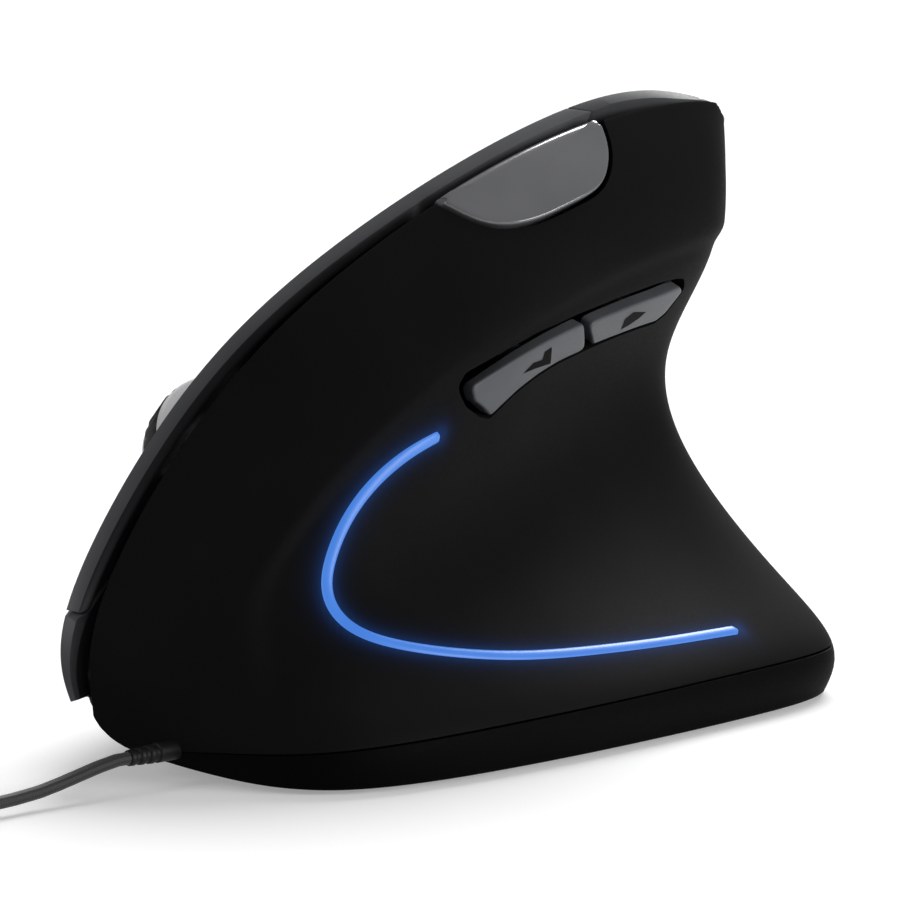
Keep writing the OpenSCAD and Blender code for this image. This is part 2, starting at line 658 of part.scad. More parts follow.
module wheel_hub() {
    color("#c9cbce")
    on_axle() difference() {
        rotate_extrude() polygon(both_sides(hub_half));
        for (k = [1:hub_holes]) rotate(360 * k / hub_holes)
            translate([(ring_in + boss_foot) / 2, 0, -wheel_width])
            cylinder(d = hub_hole, h = 2 * wheel_width);
    }
}
module wheel_tyre() {
    color("#101011")
    on_axle() difference() {
        rotate_extrude() polygon(both_sides(tyre_half));
        for (k = [1:tyre_ribs]) rotate(360 * k / tyre_ribs)
            translate([wheel_r + groove_out, 0, -half_w]) cylinder(d = groove_d, h = wheel_width, $fn = 6);
    }
}
axle_half = cheek_y + cheek_t + 1.6;
module wheel_axle() {
    color("#b9bcc0") on_axle() translate([0, 0, -axle_half]) cylinder(d = axle_d, h = 2 * axle_half);
}
cradle_gap = 0.7;
cradle_z = axle_z - wheel_r - cradle_gap;
cradle_t = 1.6;
cradle_x = 4;
module axle_bore() {
    translate([0, 0, axle_z]) rotate([90, 0, 0])
        cylinder(d = axle_d + 2 * axle_fit, h = 2 * wheel_d, center = true);
}
module wheel_cradle() {
    color("#26272a")
    place(wheel_frame) difference() {
        union() {
            for (s = [-1, 1]) translate([0, s * (cheek_y + cheek_t / 2), 0]) rotate([90, 0, 0])
                linear_extrude(cheek_t, center = true) {
                    translate([0, axle_z]) circle(r = cradle_x);
                    translate([-cradle_x, cradle_z - cradle_t])
                        square([2 * cradle_x, axle_z - cradle_z + cradle_t]);
                }
            translate([-cradle_x, -cheek_y - cheek_t, cradle_z - cradle_t])
                cube([2 * cradle_x, 2 * (cheek_y + cheek_t), cradle_t]);
        }
        axle_bore();
    }
}
encoder_t = 3;
encoder_size = [7, encoder_t, 8.5];
encoder_drop = 5;
encoder_y = cheek_y + cheek_t + 0.05;
module wheel_encoder() {
    color("#5b4a36")
    place(wheel_frame) difference() {
        translate([-encoder_size.x / 2, encoder_y, axle_z - encoder_drop]) cube(encoder_size);
        axle_bore();
    }
}
click_top = -(cradle_z - cradle_t) + stem_free;
module wheel_switch() {
    color("#3a3a3c")
    place(wheel_frame) translate([0, 0, tact_top - click_top]) tact_body([0, 0]);
}
module wheel_stem() {
    color("#d9d4c4")
    place(wheel_frame) translate([0, 0, tact_top - click_top]) tact_stem([0, 0]);
}

// Switch board under the finger panels, with a window for the wheel
switch_board_size = [28, 31];
window_gap = 0.6;
board_window = [wheel_d - 2, 2 * (encoder_y + encoder_t + window_gap)];
module switch_board() {
    color("#1f5c3a")
    place(wheel_frame) translate([0, 0, -switch_depth - board_t]) linear_extrude(board_t) difference() {
        square(switch_board_size, center = true);
        square(board_window, center = true);
    }
}
module main_switch(p) {
    place(wheel_frame) translate([p.x, p.y, -switch_depth]) difference() {
        translate([switch_front - switch_size.x, -switch_size.y / 2, 0]) cube(switch_size);
        translate([0, 0, switch_size.z - plunger_well]) cylinder(d = plunger_d + 0.4, h = 2 * plunger_well);
    }
}
module main_plunger(p) {
    place(wheel_frame) translate([p.x, p.y, -switch_top - plunger_in])
        cylinder(d = plunger_d, h = plunger_in + plunger_h);
}
module left_switch() { color("#2c2c2e") main_switch(plunger_at[0]); }
module right_switch() { color("#2c2c2e") main_switch(plunger_at[1]); }
module left_plunger() { color("#e8e4d8") main_plunger(plunger_at[0]); }
module right_plunger() { color("#e8e4d8") main_plunger(plunger_at[1]); }

// Stand that carries the switch board and the wheel switch
stand_t = 3;
bar_w = 2.4;
// The floor rises a little towards the nose, so the foot is lifted there
toe_lift = 0.45;
toe_from = [1, 17];
screw_pad = 7;
pillar_d = 3.6;
stand_pillars = [[12.4, -13.2], [12, 11.6], [-12, 11.2], [-12, -11.6]];
function frame_point(f, p) = f[0] + f[1] * p.x + f[2] * p.y + f[3] * p.z;
module above(frame, depth) {
    place(frame) translate([-body_h, -body_h, -depth]) cube(2 * body_h);
}
module pillar(frame, p, depth) {
    at = frame_point(frame, [p.x, p.y, -depth]);
    difference() {
        translate([at.x, at.y, floor_z]) cylinder(d = pillar_d, h = at.z - floor_z + pillar_d);
        above(frame, depth);
    }
}
click_depth = click_top + tact.z;
module switch_stand() {
    color("#2e3033")
    difference() {
        union() {
            for (p = stand_pillars) pillar(wheel_frame, p, switch_depth + board_t);
            pillar(wheel_frame, [0, 0], click_depth);
            stand_foot();
        }
        for (p = stand_screws) translate([p.x, p.y, 0]) cylinder(d = screw_d + 0.05, h = floor_z + screw_len);
        translate(toe_from) cube([body_w / 2, body_w / 2, floor_z + toe_lift]);
    }
}
module stand_foot() {
    feet = concat([for (p = stand_pillars) frame_point(wheel_frame, [p.x, p.y, -switch_depth - board_t])],
                  [frame_point(wheel_frame, [0, 0, -click_depth])]);
    translate([0, 0, floor_z]) linear_extrude(stand_t) {
        for (f = feet) translate([f.x, f.y]) circle(d = pillar_d + 1);
        for (p = stand_screws) translate(p) circle(d = screw_pad);
        for (k = [0:3]) bar([feet[k].x, feet[k].y], [feet[4].x, feet[4].y]);
        for (p = stand_screws) bar(p, [feet[4].x, feet[4].y]);
    }
}
module bar(a, b) {
    d = b - a;
    translate(a) rotate(atan2(d.y, d.x)) translate([0, -bar_w / 2]) square([norm(d), bar_w]);
}

// Inner frame: a leaning plate that carries the thumb board and the speed board
frame_lean = 6;
frame_t = 2;
frame_outline = [[-46, 1.5], [-28, 1.5], [-24, 14], [-8, 26], [5, 40], [6, 51], [1, 57], [-6, 60.6],
                 [-19, 61.2], [-24, 58], [-32, 58], [-36, 52], [-36, 40], [-38, 26], [-46, 10]];
frame_windows = [[-30, 30, 6], [-20, 42, 8], [-7, 44, 5], [-38, 14, 4]];
// Floor, walls and room above the plate, which keep their size when the body grows
frame_room = 8;
function on_plate(p) = [p.x * body_l / drawn.y, p.y * (body_h - frame_room) / (drawn.z - frame_room)];
plate_out = [cos(frame_lean), 0, sin(frame_lean)];
// Way from a place under a board, square to the board, to the middle of the plate
function plate_reach(f, p) =
    (frame_point(f, [p.x, p.y, -under_tact]) - [frame_x, 0, floor_z]) * plate_out / (f[3] * plate_out);
frame_post = 3;
module frame_posts(f, places) {
    for (p = places) let (reach = plate_reach(f, p))
        place(f) translate([p.x, p.y, -under_tact - reach]) cylinder(d = frame_post, h = reach);
}
foot_size = [12, 22 * body_l / drawn.y, 3];
foot_y = -48 * body_l / drawn.y;
module inner_frame() {
    color("#2e3033")
    difference() {
        union() {
            translate([frame_x, 0, floor_z]) rotate([0, -frame_lean, 0]) rotate([90, 0, 90])
                linear_extrude(frame_t, center = true) difference() {
                    polygon([for (p = frame_outline) on_plate(p)]);
                    for (h = frame_windows) translate(on_plate(h)) circle(r = h[2] * body_l / drawn.y);
                }
            translate([frame_x - foot_size.x / 2, foot_y, floor_z]) cube(foot_size);
            frame_posts(thumb_frame, [for (x = [-14, 12]) thumb_board_at + [x, 0]]);
            frame_posts(dpi_seat, [for (x = [-4, 4]) dpi_board_at + [x, 0]]);
        }
        for (p = frame_screws) translate([p.x, p.y, 0]) cylinder(d = screw_d + 0.05, h = floor_z + screw_len);
    }
}

// Main board with the optical sensor over the window
board_z = floor_z + board_lift;
sensor_eye = [7, 6];
sensor_size = [12, 10, 2.6];
pin = [0.5, 1.2, 1];
pin_pitch = 2;
lens_size = [16, 13, 1.2];
lens_d = 5;
lens_fit = 0.2;
module main_board() {
    color("#1f5c3a")
    translate([board_at.x, board_at.y, board_z]) linear_extrude(board_t) difference() {
        square(board_size, center = true);
        for (p = post_at) translate(p - board_at) circle(d = screw_d + 2 * screw_fit);
        translate(sensor_at - board_at) square(sensor_eye, center = true);
    }
}
module board_screws() {
    color("#8a8d92")
    for (p = post_at) translate([p.x, p.y, board_z + board_t]) mirror([0, 0, 1]) translate([0, 0, -1]) {
        cylinder(d = screw_head - 0.4, h = 1);
        cylinder(d = screw_d - screw_bite - 0.02, h = board_t + board_lift + 0.1);
    }
}
module sensor() {
    color("#18181a")
    translate([sensor_at.x, sensor_at.y, board_z + board_t]) {
        translate([-sensor_size.x / 2, -sensor_size.y / 2, 0]) cube(sensor_size);
        for (s = [-1, 1]) for (k = [-2:2])
            translate([k * pin_pitch, s * (sensor_size.y + pin.y) / 2, pin.z / 2]) cube(pin, center = true);
    }
}
module sensor_lens() {
    color("#cfe3ea")
    translate([sensor_at.x, sensor_at.y, floor_z]) union() {
        linear_extrude(lens_size.z) square([lens_size.x, lens_size.y], center = true);
        translate([0, 0, -lens_size.z]) linear_extrude(lens_size.z + 0.1)
            square(window - 2 * [lens_fit, lens_fit], center = true);
        translate([0, 0, 1]) cylinder(d = lens_d, h = board_lift - 1 - lens_fit);
    }
}

// Cord: its exit, its free stretch, the coil and the plug
relief_end = relief_at.y + 7.6;
relief_ribs = 3;
rib_run = 1.5;
function relief_rib(k) =
    let (r = relief_d / 2 * mix(0.8, 1, k / relief_ribs), z = rib_run * k)
    [[r, z], [r + 0.05, z + 0.8], [r * 0.88, z + 0.9], [r * 0.88, z + rib_run - 0.05]];
module strain_relief() {
    color("#121214")
    translate([relief_at.x, relief_end, relief_at.z]) rotate([90, 0, 0])
        rotate_extrude() polygon(concat(
            [[0, 0]], [for (k = [0:relief_ribs - 1]) each relief_rib(k)],
            [[relief_d / 2, rib_run * relief_ribs], [relief_d / 2, relief_len], [0, relief_len]]
        ));
}
lead_d = 1.8;
// The lead starts square to the relief, a hair behind it
lead_fit = 0.02;
lead_start = 1.5;
lead_in = [relief_at.x, relief_end - relief_len - lead_fit, relief_at.z];
socket_at = [-8, 3.5];
socket_size = [4, 5.5, 4];
// Lay of the lead: X, share of the way in Y from the socket to the relief, and Z
lead_lay = [[-8.4, 0.94, 4.6], [-10, 0.85, 6], [-13, 0.71, 7.5], [-15.5, 0.52, 8.5], [-15.5, 0.34, 9],
            [-12.5, 0.17, 9.3], [-9, 0.08, 9.3], [-8, 0.002, 9.3]];
lead_route = concat([lead_in, lead_in - [0, lead_start, 0]], [for (p = lead_lay) [p.x, mix(socket_at.y, lead_in.y, p.y), p.z]]);
module inner_lead() {
    color("#1a1a1a") tube(lead_route, lead_d / 2, 8);
}
module lead_socket() {
    color("#e9e6da")
    translate([socket_at.x - socket_size.x / 2, socket_at.y - socket_size.y, board_z + board_t])
        cube(socket_size);
}
cord_r = cord_d / 2;
tie_t = 0.5;
tie_w = 2;
tie_fit = 0.3;
// Height of the lying cord, which leaves room for the tie under the coil
cord_rest = cord_r + tie_fit + tie_t + 0.1;
// Lay of the cord from its exit: offsets in X and Y, and the share that is left of the fall to the desk
cord_lay = [[0, 0, 1], [0, 1.8, 1], [0, 4.8, 0.84], [0.1, 7.8, 0.6], [0.2, 10.8, 0.36], [0.3, 13.8, 0.16],
            [0.3, 17.8, 0.04], [0.2, 21.8, 0], [0.1, 26.8, 0], [0, 31.8, 0], [0, 35.8, 0]];
cord_route = [for (p = cord_lay) [relief_at.x + p.x, relief_end + p.y, mix(cord_rest, relief_at.z, p.z)]];
module cord() {
    color("#161616") tube(cord_route, cord_r, 8);
}
// Coil: four layers of loops, in and out by turns, climbing in the half turn where the spiral turns back
coil_at = [cord_route[10].x + coil_r, cord_route[10].y];
coil_base = cord_route[10].z;
climb = 0.5;
layer_turns = coil_turns + climb;
coil_total = 4 * coil_turns + 3 * climb;
function coil_point(t) =
    let (k = min(floor(t / layer_turns), 3), s = t - k * layer_turns, run = min(s, coil_turns),
         up = ease((s - coil_turns) / climb) * (k < 3 ? 1 : 0), inward = k % 2 == 0,
         r = coil_r - coil_pitch * (inward ? run : coil_turns - run), a = 180 - 360 * t)
    [coil_at.x + r * cos(a), coil_at.y + r * sin(a), coil_base + coil_rise * (k + up)];
coil_rings = 20;
coil_points = [for (i = [0:round(coil_total * coil_rings)]) coil_point(min(i / coil_rings, coil_total))];
coil_last = len(coil_points) - 1;
coil_end = coil_points[coil_last];
plug_z = 4.6;
tail_drop = coil_end.z - plug_z;
tail_run = 19.5;
tail_steps = 7;
tail_bend = 7;
function tail_fall(k) = -tail_drop * ease(k / (tail_steps + 3));
tail_route = [for (k = [1:tail_steps]) coil_end + [k * tail_run / tail_steps, 0, tail_fall(k)]];
tail_turn = [for (k = [1:6]) let (a = 90 - 15 * k) coil_end
    + [tail_run + tail_bend * cos(a), tail_bend * (sin(a) - 1), tail_fall(tail_steps + k / 2)]];
plug_in = tail_turn[5] + [0, -2 * cord_d, 0];
plug_at = [plug_in.x, plug_in.y, plug_z];
coil_route = concat(coil_points, tail_route, tail_turn, [plug_at + [0, cord_d, 0], plug_at]);
module cord_coil() {
    color("#161616") tube(coil_route, cord_r, 6);
}
// Least gap between points of the coil at least half a loop apart
coil_gap = min([for (i = [0:2:coil_last]) for (j = [i + coil_rings / 2:1:min(i + 7 * coil_rings, coil_last)])
    norm(coil_points[i] - coil_points[j])]) - cord_d;
function route_length(p, i = 1) = i < len(p) ? norm(p[i] - p[i - 1]) + route_length(p, i + 1) : 0;
coil_length = route_length(coil_route);
echo(least_gap_in_coil = coil_gap, cord_length = coil_length + route_length(cord_route));
module cord_tie() {
    color("#101010")
    translate([coil_at.x, coil_at.y - tie_w / 2, 0]) difference() {
        translate([inner_r - cord_r - tie_fit - tie_t, 0, coil_base - cord_r - tie_fit - tie_t])
            cube([coil_r - inner_r + cord_d + 2 * (tie_fit + tie_t), tie_w,
                  3 * coil_rise + cord_d + 2 * (tie_fit + tie_t)]);
        translate([inner_r - cord_r - tie_fit, -1, coil_base - cord_r - tie_fit])
            cube([coil_r - inner_r + cord_d + 2 * tie_fit, tie_w + 2, 3 * coil_rise + cord_d + 2 * tie_fit]);
    }
}
inner_r = coil_r - coil_pitch * coil_turns;
plug_size = [15, 26, 8];
neck_len = 5;
plug_r = 1.5;
usb = [12, 18.5, 4.5];
usb_wall = 0.35;
usb_hole = [2, 20, 2.2];
module plug_body() {
    color("#161616")
    translate(plug_at) union() {
        rotate([90, 0, 0]) rotate_extrude()
            polygon([[0, 0], [1.5, 0], [2.2, neck_len], [3, neck_len + plug_r], [0, neck_len + plug_r]]);
        translate([0, -neck_len, 0]) rotate([90, 0, 0]) linear_extrude(plug_size.y)
            offset(r = plug_r) square([plug_size.x - 2 * plug_r, plug_size.z - 2 * plug_r], center = true);
    }
}
plug_face = -neck_len - plug_size.y;
module plug_shell() {
    color("#c4c7cb")
    translate(plug_at + [0, plug_face, 0]) rotate([90, 0, 0]) difference() {
        linear_extrude(usb.y) difference() {
            square([usb.x, usb.z], center = true);
            square([usb.x - 2 * usb_wall, usb.z - 2 * usb_wall], center = true);
        }
        for (s = [-1, 1]) translate([s * usb.x / 4, 0, usb.y / 3]) cube(usb_hole, center = true);
    }
}
module plug_tongue() {
    color("#e8e8e4")
    translate(plug_at + [0, plug_face, 0]) rotate([90, 0, 0])
        translate([-usb.x / 2 + usb_wall + 0.02, 0.1, 0])
        cube([usb.x - 2 * usb_wall - 0.04, usb.z / 2 - usb_wall - 0.12, usb.y - 0.8]);
}

base_tray();
thumb_shell();
palm_shell();
left_button();
right_button();
ridge_trim();
dpi_button();
forward_button();
back_button();
light_guide();
light_board();
wheel_hub();
wheel_tyre();
wheel_axle();
wheel_cradle();
wheel_encoder();
wheel_switch();
wheel_stem();
switch_board();
left_switch();
right_switch();
left_plunger();
right_plunger();
switch_stand();
inner_frame();
thumb_board();
thumb_switches();
forward_stem();
back_stem();
dpi_board();
dpi_switch();
dpi_stem();
main_board();
sensor();
sensor_lens();
case_screws();
board_screws();
slide_pads();
strain_relief();
inner_lead();
lead_socket();
cord();
cord_coil();
cord_tie();
plug_body();
plug_shell();
plug_tongue();
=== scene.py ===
"""Looks of a vertical ergonomic mouse: moulded skins, caps, wheel, light strip, cord and a studio stage."""

import math

import bpy
import numpy as np
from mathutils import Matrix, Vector


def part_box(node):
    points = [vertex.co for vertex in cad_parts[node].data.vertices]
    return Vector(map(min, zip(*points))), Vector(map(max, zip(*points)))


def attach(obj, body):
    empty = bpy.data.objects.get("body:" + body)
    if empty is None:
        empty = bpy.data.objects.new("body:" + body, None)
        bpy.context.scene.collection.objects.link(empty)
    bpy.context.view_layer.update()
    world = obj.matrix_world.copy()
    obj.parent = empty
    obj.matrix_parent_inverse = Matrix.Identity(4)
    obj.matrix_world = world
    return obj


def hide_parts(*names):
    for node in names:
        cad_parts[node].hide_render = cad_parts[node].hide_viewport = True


bl_info = {
    "name": "Vertical mouse looks",
    "version": (1, 0, 0),
    "blender": (4, 5, 0),
    "location": "View3D > Sidebar > Mouse",
    "description": "Models and finishes the pieces of a vertical mouse around its packed frame",
    "category": "Object",
}

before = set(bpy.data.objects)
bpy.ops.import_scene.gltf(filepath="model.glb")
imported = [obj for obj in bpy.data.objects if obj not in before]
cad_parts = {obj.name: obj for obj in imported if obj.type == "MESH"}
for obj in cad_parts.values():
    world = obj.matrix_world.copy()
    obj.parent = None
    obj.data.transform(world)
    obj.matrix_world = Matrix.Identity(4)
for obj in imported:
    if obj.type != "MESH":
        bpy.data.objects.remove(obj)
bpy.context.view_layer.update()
MM = 0.001
THUMB, FINGER = 1, -1
X, Y, Z = np.eye(3)
CORNERS = np.array([[-1, -1], [1, -1], [1, 1], [-1, 1]])

# The two skins in millimetres: rows from the ridge to the foot, points from the nose to the rear
THUMB_ROWS = np.array([
    [[1, 55, 8], [2, 56, 19], [0, 41, 40.5], [-3.5, 25, 55.5],
     [-8.5, 1, 69], [-11, -22, 76], [-12.5, -40, 77], [-10.5, -45, 75.5]],
    [[0, 54.7, 7.5], [-6, 51, 18], [-10, 35, 37], [-13, 20, 49.5],
     [-16.5, -2, 61.5], [-17, -22, 67], [-16.5, -39.5, 69], [-11.5, -44.5, 68.5]],
    [[-0.5, 54.3, 7], [-10, 49, 16], [-16, 32, 32], [-19, 16, 41.5],
     [-20.5, -5, 51], [-19, -24, 55], [-17, -38, 56.5], [-11, -43.5, 56]],
    [[-1, 53.8, 6.5], [-12, 48, 14], [-19.5, 31, 26], [-15.5, 12, 32],
     [-9, -9, 38], [-6, -26, 41], [-5.5, -37.5, 43.5], [-1, -42, 43]],
    [[-1.5, 53.4, 5.8], [-13, 48, 11], [-22.5, 34, 19], [-20, 9, 22],
     [-13, -13, 25], [-10, -29, 28], [-9.5, -39, 30], [-4, -44, 30]],
    [[-2.5, 53, 5], [-14, 48.5, 7.6], [-28, 40, 12], [-28.5, 8, 13],
     [-24, -14, 13.5], [-22, -31, 14.5], [-21.5, -44.5, 15.5], [-14.5, -50, 15.5]],
    [[-3, 52.5, 4.2], [-14.5, 49.5, 4.4], [-31.5, 46, 5.5], [-34.8, 16, 6.5],
     [-34, -8, 6.5], [-32.5, -29, 6.5], [-31, -50, 6.5], [-21.5, -55, 6.5]],
    [[-3, 51.5, 3.2], [-13, 48.5, 1], [-30, 45.5, 0.4], [-32.8, 16, 0.4],
     [-32.3, -8, 0.4], [-31, -28, 0.4], [-28.5, -47.5, 0.4], [-20, -53, 0.4]],
], float)
FINGER_ROWS = np.array([
    [[4, 55.5, 8], [6.5, 58, 17.5], [5, 42, 40.5], [1.5, 26, 56],
     [-5, 1, 70.5], [-8.5, -24, 79], [-10, -37.5, 78]],
    [[5, 53, 8], [9.5, 50.5, 17], [11, 35, 35], [8.5, 20, 49.5],
     [5, -2, 62.5], [2, -28, 69.5], [-4, -44, 69]],
    [[6, 51.5, 8], [12, 47.5, 15.5], [17.5, 33, 30.5], [16.5, 19.5, 42.5],
     [15, -4, 53], [11, -30, 59], [2, -47.5, 57]],
    [[6.5, 50, 7.5], [14, 45.5, 13], [22.5, 32, 25.5], [22, 19, 35],
     [22, -6, 42.5], [18, -32, 46.5], [6.5, -49.5, 44.5]],
    [[6.5, 48.5, 6.5], [14.5, 44, 10.5], [24.5, 30, 20], [26.5, 17, 26.5],
     [27.5, -7, 31], [23, -34, 34], [9, -52.5, 32]],
    [[6, 47.5, 5.5], [13, 42, 8], [25, 27.5, 13.5], [30, 15, 17],
     [31.5, -8, 19], [27, -36, 21], [11, -56.5, 19]],
    [[5, 46.5, 4.5], [10.5, 38.5, 5], [24, 24.5, 6.5], [32, 12, 6.5],
     [34.5, -9, 6.5], [31, -38, 6.5], [11, -61.5, 6.5]],
    [[4, 45.5, 3], [9.5, 37.5, 1], [22.5, 23.5, 0.4], [30.5, 11, 0.4],
     [33, -9, 0.4], [29.5, -37, 0.4], [10, -60, 0.4]],
], float)
FINGER_ROWS = np.concatenate([FINGER_ROWS, THUMB_ROWS[:, 7:8]], axis=1)
RIDGE_RUN, SIDE_RUN = 130.0, 85.0
RUN = np.array([RIDGE_RUN, SIDE_RUN])
WALL, RIDGE_LIP = 2.0, 0.5
# Seams as they look, a little narrower than between the solids because the edges are rolled
SEAM = 0.3
RIM_W, LOW_W, WHEEL_W, TIP_U, TIP_W, NOSE_U = 0.865, 0.64, 0.24, 0.14, 0.006, 0.015
SPLIT_RUN, SPLIT_BOW = 0.13, 0.43
# Rounded corner where the ridge meets the rear edge: its end in Y, its top in Z and its radii
CORNER_Y, CORNER_Z, CORNER_R = -45.0, 76.7, np.array([4.4, 4.4])
# Fullness of the nose under the ridge, in millimetres, and the way it bulges
NOSE_BULGE, NOSE_WAY = 1.1, np.array([0.5, 0.49, -0.7])
# Lip round the scoop: its reach from the rear and from the foot, how square its corner is, and its height
LIP_U, LIP_W, LIP_POWER, LIP_HEIGHT = 0.81, 0.75, 12, 0.9
# Wheel: radius, half width and how far it stands out of the skin
WHEEL_R, WHEEL_HALF, WHEEL_RISE = 11.5, 3.2, 4.5
# Base: upper face of its floor, its underside, and where its walls end inside
WELL_Z, FOOT_Z, WELL_W = 2.6, 0.4, 0.955
# Distance under which mesh points are merged, in metres
MERGE = 2e-6


def mix(a, b, t):
    return a + (b - a) * t


def unit(v):
    return v / np.linalg.norm(v, axis=-1, keepdims=True)


def run_of(points):
    """Length along a line of points, up to each of them."""
    return np.r_[0, np.cumsum(np.linalg.norm(np.diff(points, axis=0), axis=1))]


def turning(p):
    """1 for an outline that runs anticlockwise, -1 for the other way."""
    return np.sign(np.sum(p[:, 0] * np.roll(p[:, 1], -1) - np.roll(p[:, 0], -1) * p[:, 1]))


def circle(count):
    a = np.linspace(0, 2 * math.pi, count, endpoint=False)
    return np.column_stack([np.cos(a), np.sin(a)])


def ease(t):
    t = np.clip(t, 0.0, 1.0)
    return t * t * (3 - 2 * t)


def shares(t, count=8):
    """Weights of the guide points at places along a smooth curve through a row of them."""
    t = np.atleast_1d(np.clip(np.asarray(t, float), 0, 1))
    s = t * (count - 1)
    i = np.minimum(s.astype(int), count - 2)
    f = s - i
    g = 1 - f
    parts = (g ** 3, 3 * f ** 3 - 6 * f ** 2 + 4, 3 * g ** 3 - 6 * g ** 2 + 4, f ** 3)
    out = np.zeros((len(t), count))
    rows = np.arange(len(t))
    for k, part in zip((-1, 0, 1, 2), parts):
        j = i + k
        inside = (j >= 0) & (j < count)
        out[rows[inside], j[inside]] += part[inside]
        for low, end, near in ((j < 0, 0, 1), (j >= count, count - 1, count - 2)):
            out[rows[low], end] += 2 * part[low]
            out[rows[low], near] -= part[low]
    return out / 6


def along(points, t):
    return shares(t, len(points)) @ np.asarray(points, float)


def bare_skin(side, u, w):
    net = THUMB_ROWS if side == THUMB else FINGER_ROWS
    return np.einsum("nk,nl,klc->nc", shares(w), shares(u), net)


def outward(side, u, w):
    h = 0.01
    du = bare_skin(side, np.minimum(u + h, 1), w) - bare_skin(side, np.maximum(u - h, 0), w)
    dw = bare_skin(side, u, np.minimum(w + h, 1)) - bare_skin(side, u, np.maximum(w - h, 0))
    return unit(side * np.cross(dw, du))


def lip_height(u, w):
    reach = ((1 - u) / LIP_U) ** LIP_POWER + ((1 - w) / LIP_W) ** LIP_POWER
    edge = reach ** (1 / LIP_POWER) - 1
    fade = np.exp(-np.maximum(edge, 0) / 0.12) * ease((0.85 - w) / 0.35)
    return LIP_HEIGHT * ease((edge + 0.02) / 0.05) * fade


def rounded_corner(points):
    """Draws the corner of the ridge and the rear edge in to an arc."""
    out = points.copy()
    past = np.column_stack([CORNER_Y + CORNER_R[0] - points[:, 1],
                            points[:, 2] - CORNER_Z + CORNER_R[1]])
    far = np.linalg.norm(past / CORNER_R, axis=1)
    pick = (past > 0).all(1) & (far > 1)
    past[pick] /= far[pick, None]
    out[pick, 1] = CORNER_Y + CORNER_R[0] - past[pick, 0]
    out[pick, 2] = CORNER_Z - CORNER_R[1] + past[pick, 1]
    return out


def skin(side, u, w, depth=0.0):
    u, w = np.broadcast_arrays(np.atleast_1d(u).astype(float), np.atleast_1d(w).astype(float))
    lift = (lip_height(u, w) if side == THUMB else 0.0) - depth
    points = bare_skin(side, u, w) + np.reshape(lift * np.ones(len(u)), (-1, 1)) * outward(side, u, w)
    if side == THUMB:
        full = NOSE_BULGE * (1 - ease(u / 0.16)) * np.sin(math.pi * np.clip(w / 0.95, 0, 1)) ** 0.6
        points = points + full[:, None] * NOSE_WAY
    return rounded_corner(points)


def skin_frame(side, u, w):
    """Origin, along, down and out of a place on a skin."""
    u, w = np.array([u], float), np.array([w], float)
    n = outward(side, u, w)[0]
    dw = (bare_skin(side, u, w + 0.01) - bare_skin(side, u, w - 0.01))[0]
    ey = unit(dw - n * (dw @ n))
    return bare_skin(side, u, w)[0], np.cross(ey, n), ey, n


WHEEL_FRAME = skin_frame(FINGER, 0.36, WHEEL_W)
THUMB_FRAME = skin_frame(THUMB, 0.70, 0.32)
DPI_FRAME = skin_frame(THUMB, 0.70, 0.06)


def in_frame(f, p):
    p = np.atleast_2d(p)
    return f[0] + p[:, :1] * f[1] + p[:, 1:2] * f[2] + p[:, 2:3] * f[3]


# Seams between the panels, as in the solids
def palm_u(w):
    return 0.69 - 0.13 * w


def split_w(u):
    t = (u - TIP_U) / SPLIT_RUN
    return WHEEL_W * np.where(t < 1, t + SPLIT_BOW * t * (1 - t), 1)


def split_gap(u):
    return mix(0.45, 0.25, ease((u - 0.26) / 0.05)) / SIDE_RUN


def split_draft(u):
    # The walls of that seam open a little inwards on the nose
    return 0.8 / SIDE_RUN * ease((u - 0.135) / 0.03) * (1 - ease((u - 0.26) / 0.03))


TIP_SLOPE = WHEEL_W * (1 + SPLIT_BOW) / SPLIT_RUN
LEFT_FROM = TIP_U + (float(split_gap(TIP_U)) + TIP_W) / TIP_SLOPE
RIGHT_FROM = TIP_U - float(split_gap(TIP_U)) / TIP_SLOPE


def rim_of(u):
    return mix(LOW_W, RIM_W, ease((u - 0.5) / 0.35))


def rim_free(u):
    return 1 / SIDE_RUN + 0.026 * (1 - ease((u - 0.05) / 0.3))


def palm_edge(top, q):
    u = palm_u(LOW_W)
    for _ in range(3):
        u = palm_u(mix(top, rim_of(u), q))
    return u


def end_share(u):
    return mix(0.45, 1, ease(u / 0.16)) * mix(1, 0.2, ease((u - 0.84) / 0.15))


def panel_t(u, w):
    return (WALL + RIDGE_LIP * (1 - ease(w / 0.1))) * end_share(u)


def panel_look(u, w):
    # The edge along the ridge looks thinner than the panel, because its foot is set back into the groove
    set_back = (0.85 + 0.3 * ease((u - 0.68) / 0.05)) * (1 - ease(w / 0.02))
    return panel_t(u, w) - set_back * end_share(u)


def thumb_t(u, w):
    return WALL * mix(0.45, 1, ease(w / 0.08)) * end_share(u)


# Making of meshes
def alone(o):
    bpy.ops.object.select_all(action="DESELECT")
    o.select_set(True)
    bpy.context.view_layer.objects.active = o
    return o


def points_of(o):
    co = np.empty(len(o.data.vertices) * 3)
    o.data.vertices.foreach_get("co", co)
    return co.reshape(-1, 3)


def put_points(o, points):
    o.data.vertices.foreach_set("co", (np.asarray(points) * MM).ravel())
    o.data.update()


def primitive(name, add, **settings):
    """A mesh from one of the primitive operators."""
    bpy.ops.object.select_all(action="DESELECT")
    add(**settings)
    o = bpy.context.active_object
    o.name = o.data.name = name
    return o


def grid_piece(name, nx, ny, place):
    """A primitive grid whose points are laid by place(s, q), both running from 0 to 1."""
    o = primitive(name, bpy.ops.mesh.primitive_grid_add, x_subdivisions=nx, y_subdivisions=ny, size=1)
    co = points_of(o)
    put_points(o, place(co[:, 0] + 0.5, co[:, 1] + 0.5))
    return o


